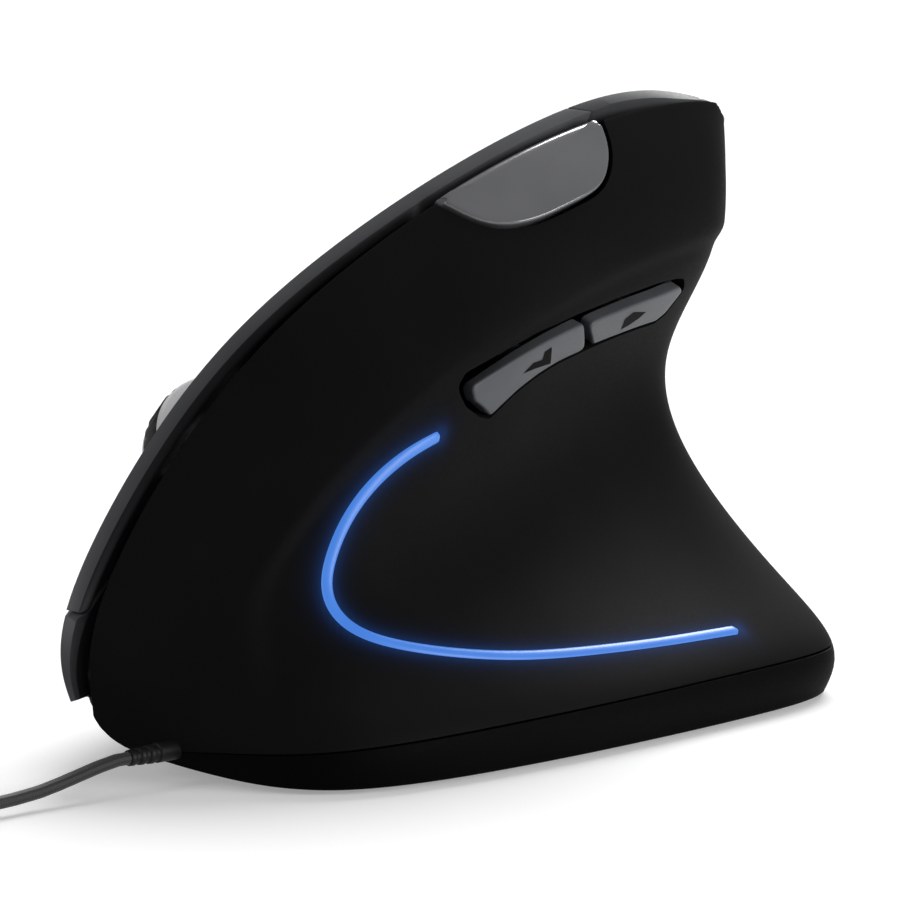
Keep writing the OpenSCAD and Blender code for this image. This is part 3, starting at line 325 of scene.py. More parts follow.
def block(name, low, high):
    """A box between two corners."""
    o = primitive(name, bpy.ops.mesh.primitive_cube_add, size=1)
    put_points(o, mix(low, high, points_of(o) + 0.5))
    return o


def in_edit(o, *steps):
    """Runs edit-mode steps on all of a piece."""
    alone(o)
    bpy.ops.object.mode_set(mode="EDIT")
    select_all()
    for step in steps:
        step()
    bpy.ops.object.mode_set(mode="OBJECT")


def select_all():
    bpy.ops.mesh.select_all(action="SELECT")


def select_none():
    bpy.ops.mesh.select_all(action="DESELECT")


def merge():
    bpy.ops.mesh.remove_doubles(threshold=MERGE)


def face_out():
    bpy.ops.mesh.normals_make_consistent(inside=False)


def close_up(o):
    """Merges seams and poles, and turns the faces outwards."""
    in_edit(o, merge, face_out)


def fill_ends(o):
    """Merges the seam of a rolled-up grid, closes its open ends and turns the faces outwards."""
    in_edit(o, merge, select_none, bpy.ops.mesh.select_non_manifold, bpy.ops.mesh.edge_face_add,
            select_all, face_out)


def apply_modifier(o, kind, **settings):
    alone(o)
    m = o.modifiers.new(kind.lower(), kind)
    for key, value in settings.items():
        setattr(m, key, value)
    bpy.ops.object.modifier_apply(modifier=m.name)


def soften(o, width=0.3, segments=3, angle=60):
    """Rounds the edges that are sharper than an angle."""
    apply_modifier(o, "BEVEL", width=width * MM, segments=segments, limit_method="ANGLE",
                   angle_limit=math.radians(angle))


def shell_piece(name, side, nx, ny, outer, depth, inner=None):
    """A moulded wall: outer(s, q) gives its places on a skin, inner those of its inside at a depth."""
    seen = {}

    def place(s, q):
        seen["s"], seen["q"] = s, q
        return skin(side, *outer(s, q))

    o = grid_piece(name, nx, ny, place)
    u, w = outer(seen["s"], seen["q"])
    face = skin(side, u, w)
    back = skin(side, *(inner or outer)(seen["s"], seen["q"]), depth(u, w))
    apply_modifier(o, "SOLIDIFY", thickness=MM, offset=-1)
    put_points(o, np.vstack([face, back]))
    return o


def cut(o, cutter, operation="DIFFERENCE"):
    apply_modifier(o, "BOOLEAN", operation=operation, solver="EXACT", object=cutter)
    bpy.data.objects.remove(cutter, do_unlink=True)


def prism(name, f, outline, low, high):
    """A block with an outline in a frame, from one height to another."""
    o = primitive(name, bpy.ops.mesh.primitive_circle_add, vertices=len(outline), fill_type="NGON")
    put_points(o, in_frame(f, np.column_stack([outline, np.full(len(outline), low)])))
    rise = Vector(f[3] * (high - low) * MM)
    in_edit(o, lambda: bpy.ops.mesh.extrude_region_move(TRANSFORM_OT_translate={"value": rise}),
            select_all, face_out)
    return o


def lathe(name, f, profile, segments, radius=None):
    """A turned piece: profile of (radius, height) along a frame's Z; radius(r, k, angle) shapes its rim."""
    profile = np.asarray(profile, float)

    def place(s, q):
        k = np.rint(q * (len(profile) - 1)).astype(int)
        a = 2 * math.pi * s
        r = profile[k, 0] if radius is None else radius(profile[k, 0], k, a)
        return in_frame(f, np.column_stack([r * np.cos(a), r * np.sin(a), profile[k, 1]]))

    o = grid_piece(name, segments, len(profile) - 1, place)
    close_up(o)
    return o


def grow(outline, by):
    """Outline moved outwards, corners kept."""
    p = np.asarray(outline, float)
    d = unit(np.roll(p, -1, 0) - p)
    n = np.column_stack([d[:, 1], -d[:, 0]]) * turning(p)
    m = n + np.roll(n, 1, 0)
    m /= np.maximum((m * n).sum(1, keepdims=True), 0.3)
    return p + by * m


def fillet(outline, radius, steps=6):
    """Outline with its corners rounded."""
    p = np.asarray(outline, float)
    out = []
    for k in range(len(p)):
        a, b, c = p[k - 1], p[k], p[(k + 1) % len(p)]
        da, dc = a - b, c - b
        la, lc = np.linalg.norm(da), np.linalg.norm(dc)
        half = math.acos(np.clip(da @ dc / la / lc, -1, 1)) / 2
        back = min(radius / math.tan(half), 0.45 * la, 0.45 * lc) if half < 1.55 else 0
        if back < 1e-3:
            out.append(b)
            continue
        s, e = b + da / la * back, b + dc / lc * back
        for t in np.linspace(0, 1, steps + 1):
            out.append((1 - t) ** 2 * s + 2 * t * (1 - t) * b + t * t * e)
    return np.array(out)


def even(outline, count):
    """Closed outline with evenly spaced points."""
    p = np.vstack([outline, outline[:1]])
    d = run_of(p)
    t = np.linspace(0, d[-1], count, endpoint=False)
    return np.column_stack([np.interp(t, d, p[:, k]) for k in range(2)])


def to_skin(f, outline, start):
    """Places on the thumb skin, in millimetres along and down it, that lie over an outline in a frame."""
    uw = np.tile(np.array(start, float), (len(outline), 1))
    h = 1e-3

    def flat(q):
        d = skin(THUMB, q[:, 0], q[:, 1]) - f[0]
        return np.column_stack([d @ f[1], d @ f[2]])

    for _ in range(12):
        miss = np.asarray(outline) - flat(uw)
        ju = (flat(uw + [h, 0]) - flat(uw - [h, 0])) / (2 * h)
        jw = (flat(uw + [0, h]) - flat(uw - [0, h])) / (2 * h)
        det = ju[:, 0] * jw[:, 1] - ju[:, 1] * jw[:, 0]
        step = np.column_stack([miss[:, 0] * jw[:, 1] - miss[:, 1] * jw[:, 0],
                                ju[:, 0] * miss[:, 1] - ju[:, 1] * miss[:, 0]]) / det[:, None]
        uw = np.clip(uw + np.clip(step, -0.08, 0.08), [0.01, 0.003], [0.99, 0.97])
    return uw * RUN


def cap_skin(u, w, depth):
    """The thumb skin, carried on past the ridge towards the finger panels where w is below 0."""
    past = np.maximum(-w, 0) * SIDE_RUN
    way = unit(bare_skin(FINGER, u, 0 * u) - bare_skin(THUMB, u, 0 * u))
    return skin(THUMB, u, np.maximum(w, 0), depth) + past[:, None] * way


def cap_piece(name, outline, proud, roll, depth, top_roll=None):
    """A button cap on the thumb skin: a rolled edge, a skirt below it and a soft crown."""
    p = even(outline, 200)
    d = unit(np.roll(p, -1, 0) - np.roll(p, 1, 0))
    inward = np.column_stack([-d[:, 1], d[:, 0]]) * turning(p)
    edge = np.full(len(p), roll)
    if top_roll:
        edge = mix(edge, top_roll, ease((1.0 - p[:, 1]) / 1.2))
    rows = [(p, np.full(len(p), depth)), (p, np.full(len(p), depth / 2))]
    for a in np.radians([0, 15, 30, 45, 60, 75, 90]):
        rows.append((p + inward * (edge * (1 - math.cos(a)))[:, None], edge * (1 - math.sin(a))))
    rim, centre = rows[-1][0], p.mean(0)
    for t in (0.08, 0.2, 0.35, 0.55, 0.75, 0.9, 1.0):
        rows.append((mix(rim, centre, t), np.zeros(len(p))))
    flat = np.array([r[0] for r in rows])
    fall = np.array([r[1] for r in rows])

    def place(s, q):
        k = np.rint(q * (len(rows) - 1)).astype(int)
        i = np.rint(s * len(p)).astype(int) % len(p)
        uw = flat[k, i] / RUN
        return cap_skin(uw[:, 0], uw[:, 1], fall[k, i] - proud)

    o = grid_piece(name, len(p), len(rows) - 1, place)
    fill_ends(o)
    return o


def mark_piece(name, f, outline, start, proud):
    """A printed mark that follows the thumb skin."""
    o = primitive(name, bpy.ops.mesh.primitive_circle_add, vertices=len(outline), fill_type="NGON")
    put_points(o, np.column_stack([outline, np.zeros(len(outline))]))
    in_edit(o, bpy.ops.mesh.quads_convert_to_tris, lambda: bpy.ops.mesh.subdivide(number_cuts=4), face_out)
    uw = to_skin(f, points_of(o)[:, :2] / MM, start) / RUN
    put_points(o, skin(THUMB, uw[:, 0], uw[:, 1], -proud))
    return o


# Materials
def srgb(code):
    """Linear colour of an sRGB hex code."""
    parts = [int(code[k:k + 2], 16) / 255 for k in (1, 3, 5)]
    return [c / 12.92 if c <= 0.04045 else ((c + 0.055) / 1.055) ** 2.4 for c in parts]


def node(tree, kind, inputs=None, **settings):
    """Adds a node with its settings; inputs maps a socket to a value or to another node's output."""
    n = tree.nodes.new(kind)
    for key, value in settings.items():
        setattr(n, key, value)
    for key, value in (inputs or {}).items():
        if isinstance(value, bpy.types.NodeSocket):
            tree.links.new(value, n.inputs[key])
        else:
            n.inputs[key].default_value = value
    return n


def new_material(name):
    """A material and its node tree, which is empty."""
    m = bpy.data.materials.new(name)
    m.use_nodes = True
    m.node_tree.nodes.clear()
    return m, m.node_tree


def maths(tree, operation, *values):
    return node(tree, "ShaderNodeMath", dict(enumerate(values)), operation=operation).outputs[0]


def spread(tree, value, low, high, start=0.0, end=1.0):
    """Maps a value between start and end to one between low and high."""
    return node(tree, "ShaderNodeMapRange", {"Value": value, "From Min": start, "From Max": end,
                                             "To Min": low, "To Max": high}).outputs["Result"]


def noise(tree, scale, detail, place=None):
    """Noise over the object's own coordinates, or over the place that is given."""
    if place is None:
        place = node(tree, "ShaderNodeTexCoord").outputs["Object"]
    inputs = {"Vector": place, "Scale": scale, "Detail": detail}
    return node(tree, "ShaderNodeTexNoise", inputs).outputs["Fac"]


def relief(tree, height, strength, distance):
    inputs = {"Height": height, "Strength": strength, "Distance": distance}
    return node(tree, "ShaderNodeBump", inputs).outputs["Normal"]


def tinted(tree, colour, scale):
    """A colour made lighter or darker by a scale."""
    return node(tree, "ShaderNodeVectorMath", {0: (*colour,), "Scale": scale},
                operation="SCALE").outputs["Vector"]


def surface(tree, inputs):
    shader = node(tree, "ShaderNodeBsdfPrincipled", inputs)
    node(tree, "ShaderNodeOutputMaterial", {"Surface": shader.outputs["BSDF"]})
    return shader


# Middle stretch of a noise, where most of its values lie
NOISE_SPAN = (0.3, 0.7)
MOTTLE, DRIFT_MM, GLOSS_SPREAD, GRAIN_DEPTH = 0.12, 14, 0.05, 0.00004


def plastic(name, code, roughness, grain_mm, bump, specular=0.5, coat=0.0):
    """Moulded plastic: a fine grain in height and gloss, and a slow drift in tone."""
    m, t = new_material(name)
    grain = noise(t, 1 / (grain_mm * MM), 3.0)
    tone = spread(t, noise(t, 1 / (DRIFT_MM * MM), 2.0), 1 - MOTTLE, 1 + MOTTLE, *NOISE_SPAN)
    surface(t, {
        "Base Color": tinted(t, srgb(code), tone),
        "Roughness": spread(t, grain, roughness - GLOSS_SPREAD, roughness + GLOSS_SPREAD, *NOISE_SPAN),
        "Normal": relief(t, grain, bump, GRAIN_DEPTH),
        "Specular IOR Level": specular, "Coat Weight": coat, "Coat Roughness": 0.12})
    return m


def finish_piece(o, body, nodes, look, angle=40):
    """Smooths, paints and hands a piece to its body."""
    alone(o)
    bpy.ops.object.shade_smooth_by_angle(angle=math.radians(angle))
    paint(o, look)
    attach(o, body)
    if nodes:
        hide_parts(*nodes)
    return o


def soft_touch():
    """Soft-touch coated ABS: near black, dull, with a very fine grain, and a painted glow of the light strip
    on it.
    """
    m = plastic("soft_touch_abs", "#151516", 0.62, 0.35, 0.25, specular=0.04)
    t = m.node_tree
    shader = next(n for n in t.nodes if n.type == "BSDF_PRINCIPLED")
    # Painted glow: the shell emits blue where its point attribute says it lies near the light strip
    glow = node(t, "ShaderNodeAttribute", attribute_name="painted_strip_glow")
    shader.inputs["Emission Color"].default_value = (*srgb("#2f7bf0"), 1)
    t.links.new(glow.outputs["Fac"], shader.inputs["Emission Strength"])
    return m


def lit_guide():
    """Translucent acrylic lit from behind: a blue that drifts a little along its length."""
    m, t = new_material("lit_acrylic_guide")
    ramp = node(t, "ShaderNodeValToRGB", {"Fac": noise(t, 1 / (9 * MM), 1.0)})
    ramp.color_ramp.elements[0].color = (*srgb("#3d78d2"), 1)
    ramp.color_ramp.elements[1].color = (*srgb("#4c8ae6"), 1)
    surface(t, {"Base Color": (*srgb("#16346c"), 1), "Roughness": 0.4,
                "Emission Color": ramp.outputs["Color"], "Emission Strength": 0.9})
    return m


def braid():
    """Braided nylon sleeve: two sets of yarns crossing at a slant, dull black with a slight sheen."""
    yarn_repeat, yarns = 0.7 * MM, 7
    m, t = new_material("braided_nylon")
    uv = node(t, "ShaderNodeUVMap", uv_map="braid")
    parts = node(t, "ShaderNodeSeparateXYZ", {"Vector": uv.outputs["UV"]})
    along_cord = maths(t, "MULTIPLY", parts.outputs["X"], 2 * math.pi / yarn_repeat)
    round_cord = maths(t, "MULTIPLY", parts.outputs["Y"], 2 * math.pi * yarns)
    left, right = (maths(t, "SINE", maths(t, way, along_cord, round_cord)) for way in ("ADD", "SUBTRACT"))
    height = spread(t, maths(t, "MULTIPLY", left, right), 0.0, 1.0, -1.0, 1.0)
    # Painted shade: the colour follows the weave's height, darker in the hollows between the yarns and
    # lighter on their crowns
    surface(t, {"Base Color": tinted(t, srgb("#1c1c1d"), spread(t, height, 0.25, 2.2)), "Roughness": 0.6,
                "Sheen Weight": 0.2, "Normal": relief(t, height, 0.4, 0.00008)})
    return m


def steel():
    """Rolled or turned steel: fine drawn lines in its gloss."""
    roughness, gloss_spread, line_mm = 0.3, 0.07, 0.12
    m, t = new_material("rolled_steel")
    place = node(t, "ShaderNodeTexCoord").outputs["Object"]
    drawn = node(t, "ShaderNodeMapping", {"Vector": place, "Scale": (1.0, 0.06, 1.0)})
    lines = noise(t, 1 / (line_mm * MM), 2.0, drawn.outputs["Vector"])
    surface(t, {
        "Base Color": (*srgb("#b9bcc0"), 1), "Metallic": 1.0,
        "Roughness": spread(t, lines, roughness - gloss_spread, roughness + gloss_spread, *NOISE_SPAN),
        "Normal": relief(t, lines, 0.15, 0.00002)})
    return m


# Name, colour, roughness, grain in millimetres, bump, specular level and coat of each plastic
PLASTICS = {
    "base": ("textured_abs_base", "#060607", 0.6, 0.4, 0.4, 0.03),
    "panel": ("satin_abs_panel", "#606164", 0.4, 0.3, 0.12, 0.35),
    "palm": ("satin_abs_palm", "#4c4d4f", 0.45, 0.3, 0.15, 0.2),
    "trim": ("polished_black_abs", "#040405", 0.2, 0.6, 0.02, 0.1),
    "dpi": ("polished_grey_abs", "#77787b", 0.2, 0.5, 0.03, 0.5, 0.5),
    "thumb_button": ("satin_grey_abs", "#5e6064", 0.42, 0.3, 0.1, 0.3),
    "arrow": ("black_pad_print", "#060607", 0.6, 0.2, 0.05, 0.05),
    "hub": ("satin_light_grey_abs", "#f0f1f2", 0.3, 0.4, 0.05, 0.5),
    "tyre": ("moulded_rubber_tyre", "#1c1c1d", 0.6, 0.25, 0.35, 0.3),
    "relief": ("moulded_pvc_relief", "#161617", 0.5, 0.25, 0.25, 0.25),
    "board": ("lacquered_circuit_board", "#123f28", 0.35, 0.5, 0.1),
    "dark_board": ("black_circuit_board", "#0b0d0c", 0.4, 0.5, 0.1, 0.1),
    "switch": ("black_nylon_switch", "#1a1a1b", 0.45, 0.3, 0.15),
    "stem": ("ivory_acetal_stem", "#d8d2c2", 0.35, 0.4, 0.05),
    "frame": ("moulded_grey_abs_frame", "#3b3d40", 0.5, 0.4, 0.25),
    "lens": ("clear_acrylic_lens", "#b9cdd4", 0.08, 0.8, 0.01),
    "pad": ("slick_ptfe_pad", "#2b2b2d", 0.3, 0.5, 0.05),
}
OTHER_LOOKS = {"soft_touch": soft_touch, "light": lit_guide, "braid": braid, "steel": steel}
FINISHES = {}


def finish(look):
    """Each finish is made once and shared."""
    if look not in FINISHES:
        FINISHES[look] = plastic(*PLASTICS[look]) if look in PLASTICS else OTHER_LOOKS[look]()
    return FINISHES[look]


def paint(o, look):
    o.data.materials.clear()
    o.data.materials.append(finish(look))


# Finishes of the nodes that stay as the frame has them
CAD_FINISH = {
    "trim": ("ridge_trim",),
    "board": ("light_board", "switch_board", "dpi_board", "main_board"),
    "dark_board": ("thumb_board",),
    "steel": ("wheel_axle", "case_screws", "board_screws", "plug_shell"),
    "frame": ("wheel_cradle", "switch_stand", "inner_frame"),
    "switch": ("wheel_encoder", "wheel_switch", "left_switch", "right_switch", "thumb_switches",
               "dpi_switch", "sensor", "forward_stem", "back_stem"),
    "stem": ("wheel_stem", "left_plunger", "right_plunger", "dpi_stem", "lead_socket", "plug_tongue"),
    "lens": ("sensor_lens",),
    "pad": ("slide_pads",),
    "relief": ("inner_lead",),
}

# Outlines on the thumb side, in the frames of the thumb buttons and of the speed button
FORWARD_OUTLINE = [[31.8, -0.2], [26.9, -1.05], [19.5, -1.95], [10.2, -2.15], [7.9, 2.7], [14, 2.3],
                   [18.2, 2.5], [22.3, 3.2], [27.8, 4.8], [31.4, 1.6]]
BACK_OUTLINE = [[9.2, -1.75], [2.9, -1.35], [-5.9, -0.55], [-11.3, -0.1], [-12.3, 0.9], [-9.8, 3.7],
                [-8.1, 4.3], [-4.1, 3.7], [0.5, 3.2], [6.2, 2.6]]
# The slot leaves a wide gap above the thumb buttons and a narrow one below them
SLOT_OUTLINE = [[34.1, -0.2], [32.4, -1.9], [26.7, -2.75], [19.5, -3.7], [11.7, -3.9], [3.5, -3.6],
                [-5.2, -2.9], [-9.4, -2.1], [-11.6, -1.3], [-12.8, 0.9], [-10.1, 4.1], [-8.1, 4.7],
                [-4.1, 4.1], [0.5, 3.55], [7, 3.0], [14, 2.65], [18.2, 2.85], [22.3, 3.55], [27.8, 5.2],
                [30.2, 4.1], [33, 1.9]]
FORWARD_ARROW = [[16.6, -1.0], [18.0, -0.8], [18.2, 0.25], [20.1, 0.05], [22.0, 0.9], [19.5, 1.1],
                 [15.95, 1.65]]
BACK_ARROW = [[0.5, 2.3], [0.5, 0.6], [-1.1, 0.05], [-4.3, 1.2], [-3.1, 1.8], [-1.2, 2.2]]
DPI_LOW = [[25, -1.4], [23.5, 0.9], [22, 3], [20, 4.6], [17, 5.6], [13, 5.7], [9, 5.1], [5, 4.6], [2.2, 3.6],
           [0, 1.5], [-1.6, -1.2], [-2.1, -4]]
# Middle of the light strip, as places on the thumb skin
LIGHT_ROUTE = [[0.43, 0.32], [0.39, 0.305], [0.34, 0.305], [0.295, 0.335], [0.262, 0.41], [0.262, 0.5],
               [0.285, 0.585], [0.325, 0.645], [0.38, 0.695], [0.44, 0.73], [0.52, 0.752], [0.61, 0.77],
               [0.72, 0.782]]


def light_line(count):
    uw = along(LIGHT_ROUTE, np.linspace(0, 1, count))
    return skin(THUMB, uw[:, 0], uw[:, 1]), outward(THUMB, uw[:, 0], uw[:, 1])


class MouseSizes(bpy.types.PropertyGroup):
    """Sizes and colours that change the looks of the mouse."""
    light_width: bpy.props.FloatProperty(
        name="Light width", description="Width of the light strip",
        default=1.5 * MM, min=0.5 * MM, max=3 * MM, unit="LENGTH")
    light_glow: bpy.props.FloatProperty(
        name="Light glow", description="Strength of the glow on the shell",
        default=0.12, min=0, max=2, subtype="FACTOR")
    cord_diameter: bpy.props.FloatProperty(
        name="Cord diameter", description="Diameter of the braided cord",
        default=1.6 * MM, min=1 * MM, max=4 * MM, unit="LENGTH")
    tyre_ribs: bpy.props.IntProperty(
        name="Tyre ribs", description="Grip ribs round the wheel", default=36, min=12, max=60)
    cap_roll: bpy.props.FloatProperty(
        name="Cap edge", description="Radius of the rolled edges of the caps",
        default=0.32 * MM, min=0.1 * MM, max=1 * MM, unit="LENGTH")
    floor_colour: bpy.props.FloatVectorProperty(
        name="Floor", description="Colour of the studio floor", subtype="COLOR",
        size=3, default=(0.8, 0.8, 0.8), min=0, max=1)


# The camera's azimuth and elevation in degrees, its target and its distance
CAMERA_TURN, CAMERA_TARGET, CAMERA_FAR = (224, 8), (-0.023, 0.0185, 0.0384), 0.7
KEY_WAY, KEY_ANGLE, KEY_POWER = (-0.33, 0.66, -0.675), 34, 3.4
# Name, place, aim, size and power of each softbox
SOFTBOXES = (
    ("head_softbox", (-1.0, -0.42, 0.24), (-0.01, -0.02, 0.05), 0.5, 6.0),
    ("nose_softbox", (0.25, 1.1, 0.6), (0, 0.03, 0.04), 0.5, 2.5),
)
# Lift of the paper where it is seen, and what the paper and the sky give back where they aren't
PAPER_LIFT, PAPER_BOUNCE, SKY_BOUNCE = 0.3, 0.2, 0.2


def set_up(name, data, place, way):
    """Puts a camera or a lamp in a place, looking a way."""
    o = bpy.data.objects.new(name, data)
    bpy.context.scene.collection.objects.link(o)
    o.location = place
    o.rotation_mode = "QUATERNION"
    o.rotation_quaternion = Vector(way).to_track_quat("-Z", "Y")
    return o


class MOUSE_OT_stage(bpy.types.Operator):
    """Camera, floor and studio light."""
    bl_idname = "mouse.stage"
    bl_label = "Studio stage"

    def execute(self, context):
        scene = context.scene
        scene.view_settings.view_transform = "Standard"
        data = bpy.data.cameras.new("camera")
        data.lens = 232.4
        data.sensor_width = 36
        data.clip_start, data.clip_end = 0.05, 50
        a, e = (math.radians(angle) for angle in CAMERA_TURN)
        back = Vector((math.sin(a) * math.cos(e), -math.cos(a) * math.cos(e), math.sin(e)))
        scene.camera = set_up("camera", data, Vector(CAMERA_TARGET) + back * CAMERA_FAR, -back)

        floor = primitive("studio_floor", bpy.ops.mesh.primitive_grid_add, x_subdivisions=4,
                          y_subdivisions=4, size=16, location=(0, 0, 0))
        m, t = new_material("matt_white_paper")
        # Paper sweep: seen directly or in a reflection it is lifted to white, and it keeps the soft shadow
        path = node(t, "ShaderNodeLightPath").outputs
        seen = maths(t, "MAXIMUM", path["Is Camera Ray"], path["Is Glossy Ray"])
        seen = maths(t, "MAXIMUM", seen, path["Is Transmission Ray"])
        paper = tinted(t, scene.mouse_sizes.floor_colour, spread(t, seen, PAPER_BOUNCE, 1.0))
        surface(t, {
            "Base Color": paper, "Roughness": 0.9, "Specular IOR Level": 0.1,
            "Normal": relief(t, noise(t, 300.0, 2.0), 0.02, 0.0002),
            "Emission Color": (1, 1, 1, 1), "Emission Strength": maths(t, "MULTIPLY", seen, PAPER_LIFT)})
        floor.data.materials.append(m)

        world = bpy.data.worlds.new("studio")
        scene.world = world
        world.use_nodes = True
        t = world.node_tree
        t.nodes.clear()
        path = node(t, "ShaderNodeLightPath").outputs
        seen = maths(t, "MAXIMUM", path["Is Camera Ray"], path["Is Transmission Ray"])
        sky = node(t, "ShaderNodeBackground", {"Color": (1, 1, 1, 1),
                                               "Strength": spread(t, seen, SKY_BOUNCE, 1.0)})
        node(t, "ShaderNodeOutputWorld", {"Surface": sky.outputs["Background"]})

        # Large soft key from behind the palm, and two softboxes for the head and the nose
        key = bpy.data.lights.new("key_sky_panel", "SUN")
        key.energy = KEY_POWER
        key.angle = math.radians(KEY_ANGLE)
        set_up("key_sky_panel", key, (0, 0, 0), KEY_WAY)
        for name, place, aim, size, power in SOFTBOXES:
            data = bpy.data.lights.new(name, "AREA")
            data.shape = "SQUARE"
            data.size = size
            data.energy = power
            set_up(name, data, place, Vector(aim) - Vector(place))
        return {"FINISHED"}


CORD_START = [[-8.4, 58.2, 4.2], [-8.4, 60, 4.2], [-8.4, 63, 3.8], [-8.3, 66, 3.2], [-8.2, 69, 2.6],
              [-8.1, 72, 2.1], [-8.1, 76, 1.8], [-8.2, 80, 1.7], [-8.3, 85, 1.7], [-8.4, 90, 1.7],
              [-8.4, 94, 1.7]]
PLUG_Z, RING_STEP, RINGS_ROUND = 4.6, 0.9, 12


def cord_route():
    """The cord's middle line: out of the relief, four layers of coil, then a tail to the plug."""
    coil_r, pitch, rise, turns, climb, layers = 16.2, 2.32, 2.25, 5.4375, 0.5, 4
    x, y, z = CORD_START[-1]
    total = layers * turns + (layers - 1) * climb
    t = np.linspace(0, total, int(total * 36) + 1)
    layer = np.minimum((t / (turns + climb)).astype(int), layers - 1)
    s = t - layer * (turns + climb)
    run = np.minimum(s, turns)
    up = ease((s - turns) / climb) * (layer < layers - 1)
    r = coil_r - pitch * np.where(layer % 2 == 0, run, turns - run)
    a = np.radians(180 - 360 * t)
    coil = np.column_stack([x + coil_r + r * np.cos(a), y + r * np.sin(a), z + rise * (layer + up)])
    end = coil[-1]
    drop, steps, tail_run, bend = end[2] - PLUG_Z, 7, 19.5, 7.0

    def fall(k):
        return -drop * float(ease(np.array(k / (steps + 3))))

    tail = [end + [k * tail_run / steps, 0, fall(k)] for k in range(1, steps + 1)]
    turn = []
    for k in range(1, 7):
        b = math.radians(90 - 15 * k)
        turn.append(end + [tail_run + bend * math.cos(b), bend * (math.sin(b) - 1), fall(steps + k / 2)])
    plug = np.array([turn[-1][0], turn[-1][1] - 3.2, PLUG_Z])
    return np.vstack([CORD_START, coil[1:], tail, turn, [plug + [0, 1.6, 0], plug]])


def box_of(name):
    """Two corners of a node's box, in millimetres."""
    return [np.array(corner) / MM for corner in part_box(name)]


class MOUSE_OT_cord(bpy.types.Operator):
    """Braided cord with its strain relief, coil, tie and plug."""
    bl_idname = "mouse.cord"
    bl_label = "Cord"

    def execute(self, context):
        radius = context.scene.mouse_sizes.cord_diameter / MM / 2
        route = cord_route()
        plug = route[-1]
        # Space the rings evenly
        d = run_of(route)
        count = int(d[-1] / RING_STEP)
        rings = np.linspace(0, d[-1], count + 1)
        path = np.column_stack([np.interp(rings, d, route[:, k]) for k in range(3)])
        way = np.gradient(path, axis=0)
        way[0], way[-1] = Y, -Y
        way = unit(way)
        side = unit(np.cross(Z, way))
        top = np.cross(way, side)

        def place(s, q):
            k = np.rint(q * count).astype(int)
            ang = 2 * math.pi * s[:, None]
            return path[k] + radius * (np.cos(ang) * side[k] + np.sin(ang) * top[k])

        o = grid_piece("braided_cord", RINGS_ROUND, count, place)
        uv = o.data.uv_layers.new(name="braid")
        loops = np.empty(len(o.data.loops), int)
        o.data.loops.foreach_get("vertex_index", loops)
        row, col = loops // (RINGS_ROUND + 1), loops % (RINGS_ROUND + 1)
        length = d[-1] * MM
        uv.data.foreach_set("uv", np.column_stack([row / count * length, col / RINGS_ROUND]).ravel())
        fill_ends(o)
        finish_piece(o, "body", ["cord", "cord_coil"], "braid", 60)

        profile = [[0.81, 0.0]]
        for k in range(3):
            r, z = 1.2 * mix(0.8, 1, k / 3), 1.5 * k
            profile += [[r - 0.08, z], [r, z + 0.1], [r + 0.05, z + 0.7], [r - 0.02, z + 0.82],
                        [0.88 * r, z + 0.9], [0.88 * r, z + 1.45]]
        profile += [[1.1, 4.5], [1.2, 4.6], [1.2, 11.6], [0.3, 11.6]]
        sleeve = lathe("ribbed_strain_relief", (np.array(CORD_START[0]), X, Z, -Y), profile, 40)
        finish_piece(sleeve, "body", ["strain_relief"], "relief", 35)

        # Plug overmould: a rounded block with a tapered neck and shallow grip ribs
        low, high = box_of("plug_body")
        neck_y = plug[1] - 5
        body = block("plug_overmould", low, np.array([high[0], neck_y, high[2]]))
        soften(body, 1.5, 5, 30)
        rib = fillet(CORNERS * [4.6, 0.5], 0.5, 5)
        for k in range(4):
            for z, n in ((high[2], 1.0), (low[2], -1.0)):
                f = (np.array([plug[0], neck_y - 6 - 2.2 * k, z]), X, n * Y, n * Z)
                cut(body, prism("grip_rib", f, rib, -0.45, 1.0))
        finish_piece(body, "body", [], "relief")
        neck = lathe("plug_neck", (plug, X, Z, -Y), [
            [0.83, 0], [1.4, 0], [1.5, 0.2], [1.65, 1.2], [1.45, 1.4], [1.5, 2.0], [1.8, 2.2], [1.95, 3.2],
            [1.7, 3.4], [1.75, 4.0], [2.2, 4.3], [2.4, 5.2], [0.2, 5.3]], 40)
        finish_piece(neck, "body", ["plug_body"], "relief", 35)

        # Tie: a soft band round the coil
        low, high = box_of("cord_tie")
        tie = block("coil_tie", low, high)
        soften(tie, 1.1, 6, 30)
        band = 0.5
        hole = fillet(CORNERS * ((high - low) / 2 - band)[[0, 2]], 0.7, 5)
        cut(tie, prism("tie_hole", ((low + high) / 2, X, Z, -Y), hole, -5, 5))
        finish_piece(tie, "body", ["cord_tie"], "relief")
        return {"FINISHED"}


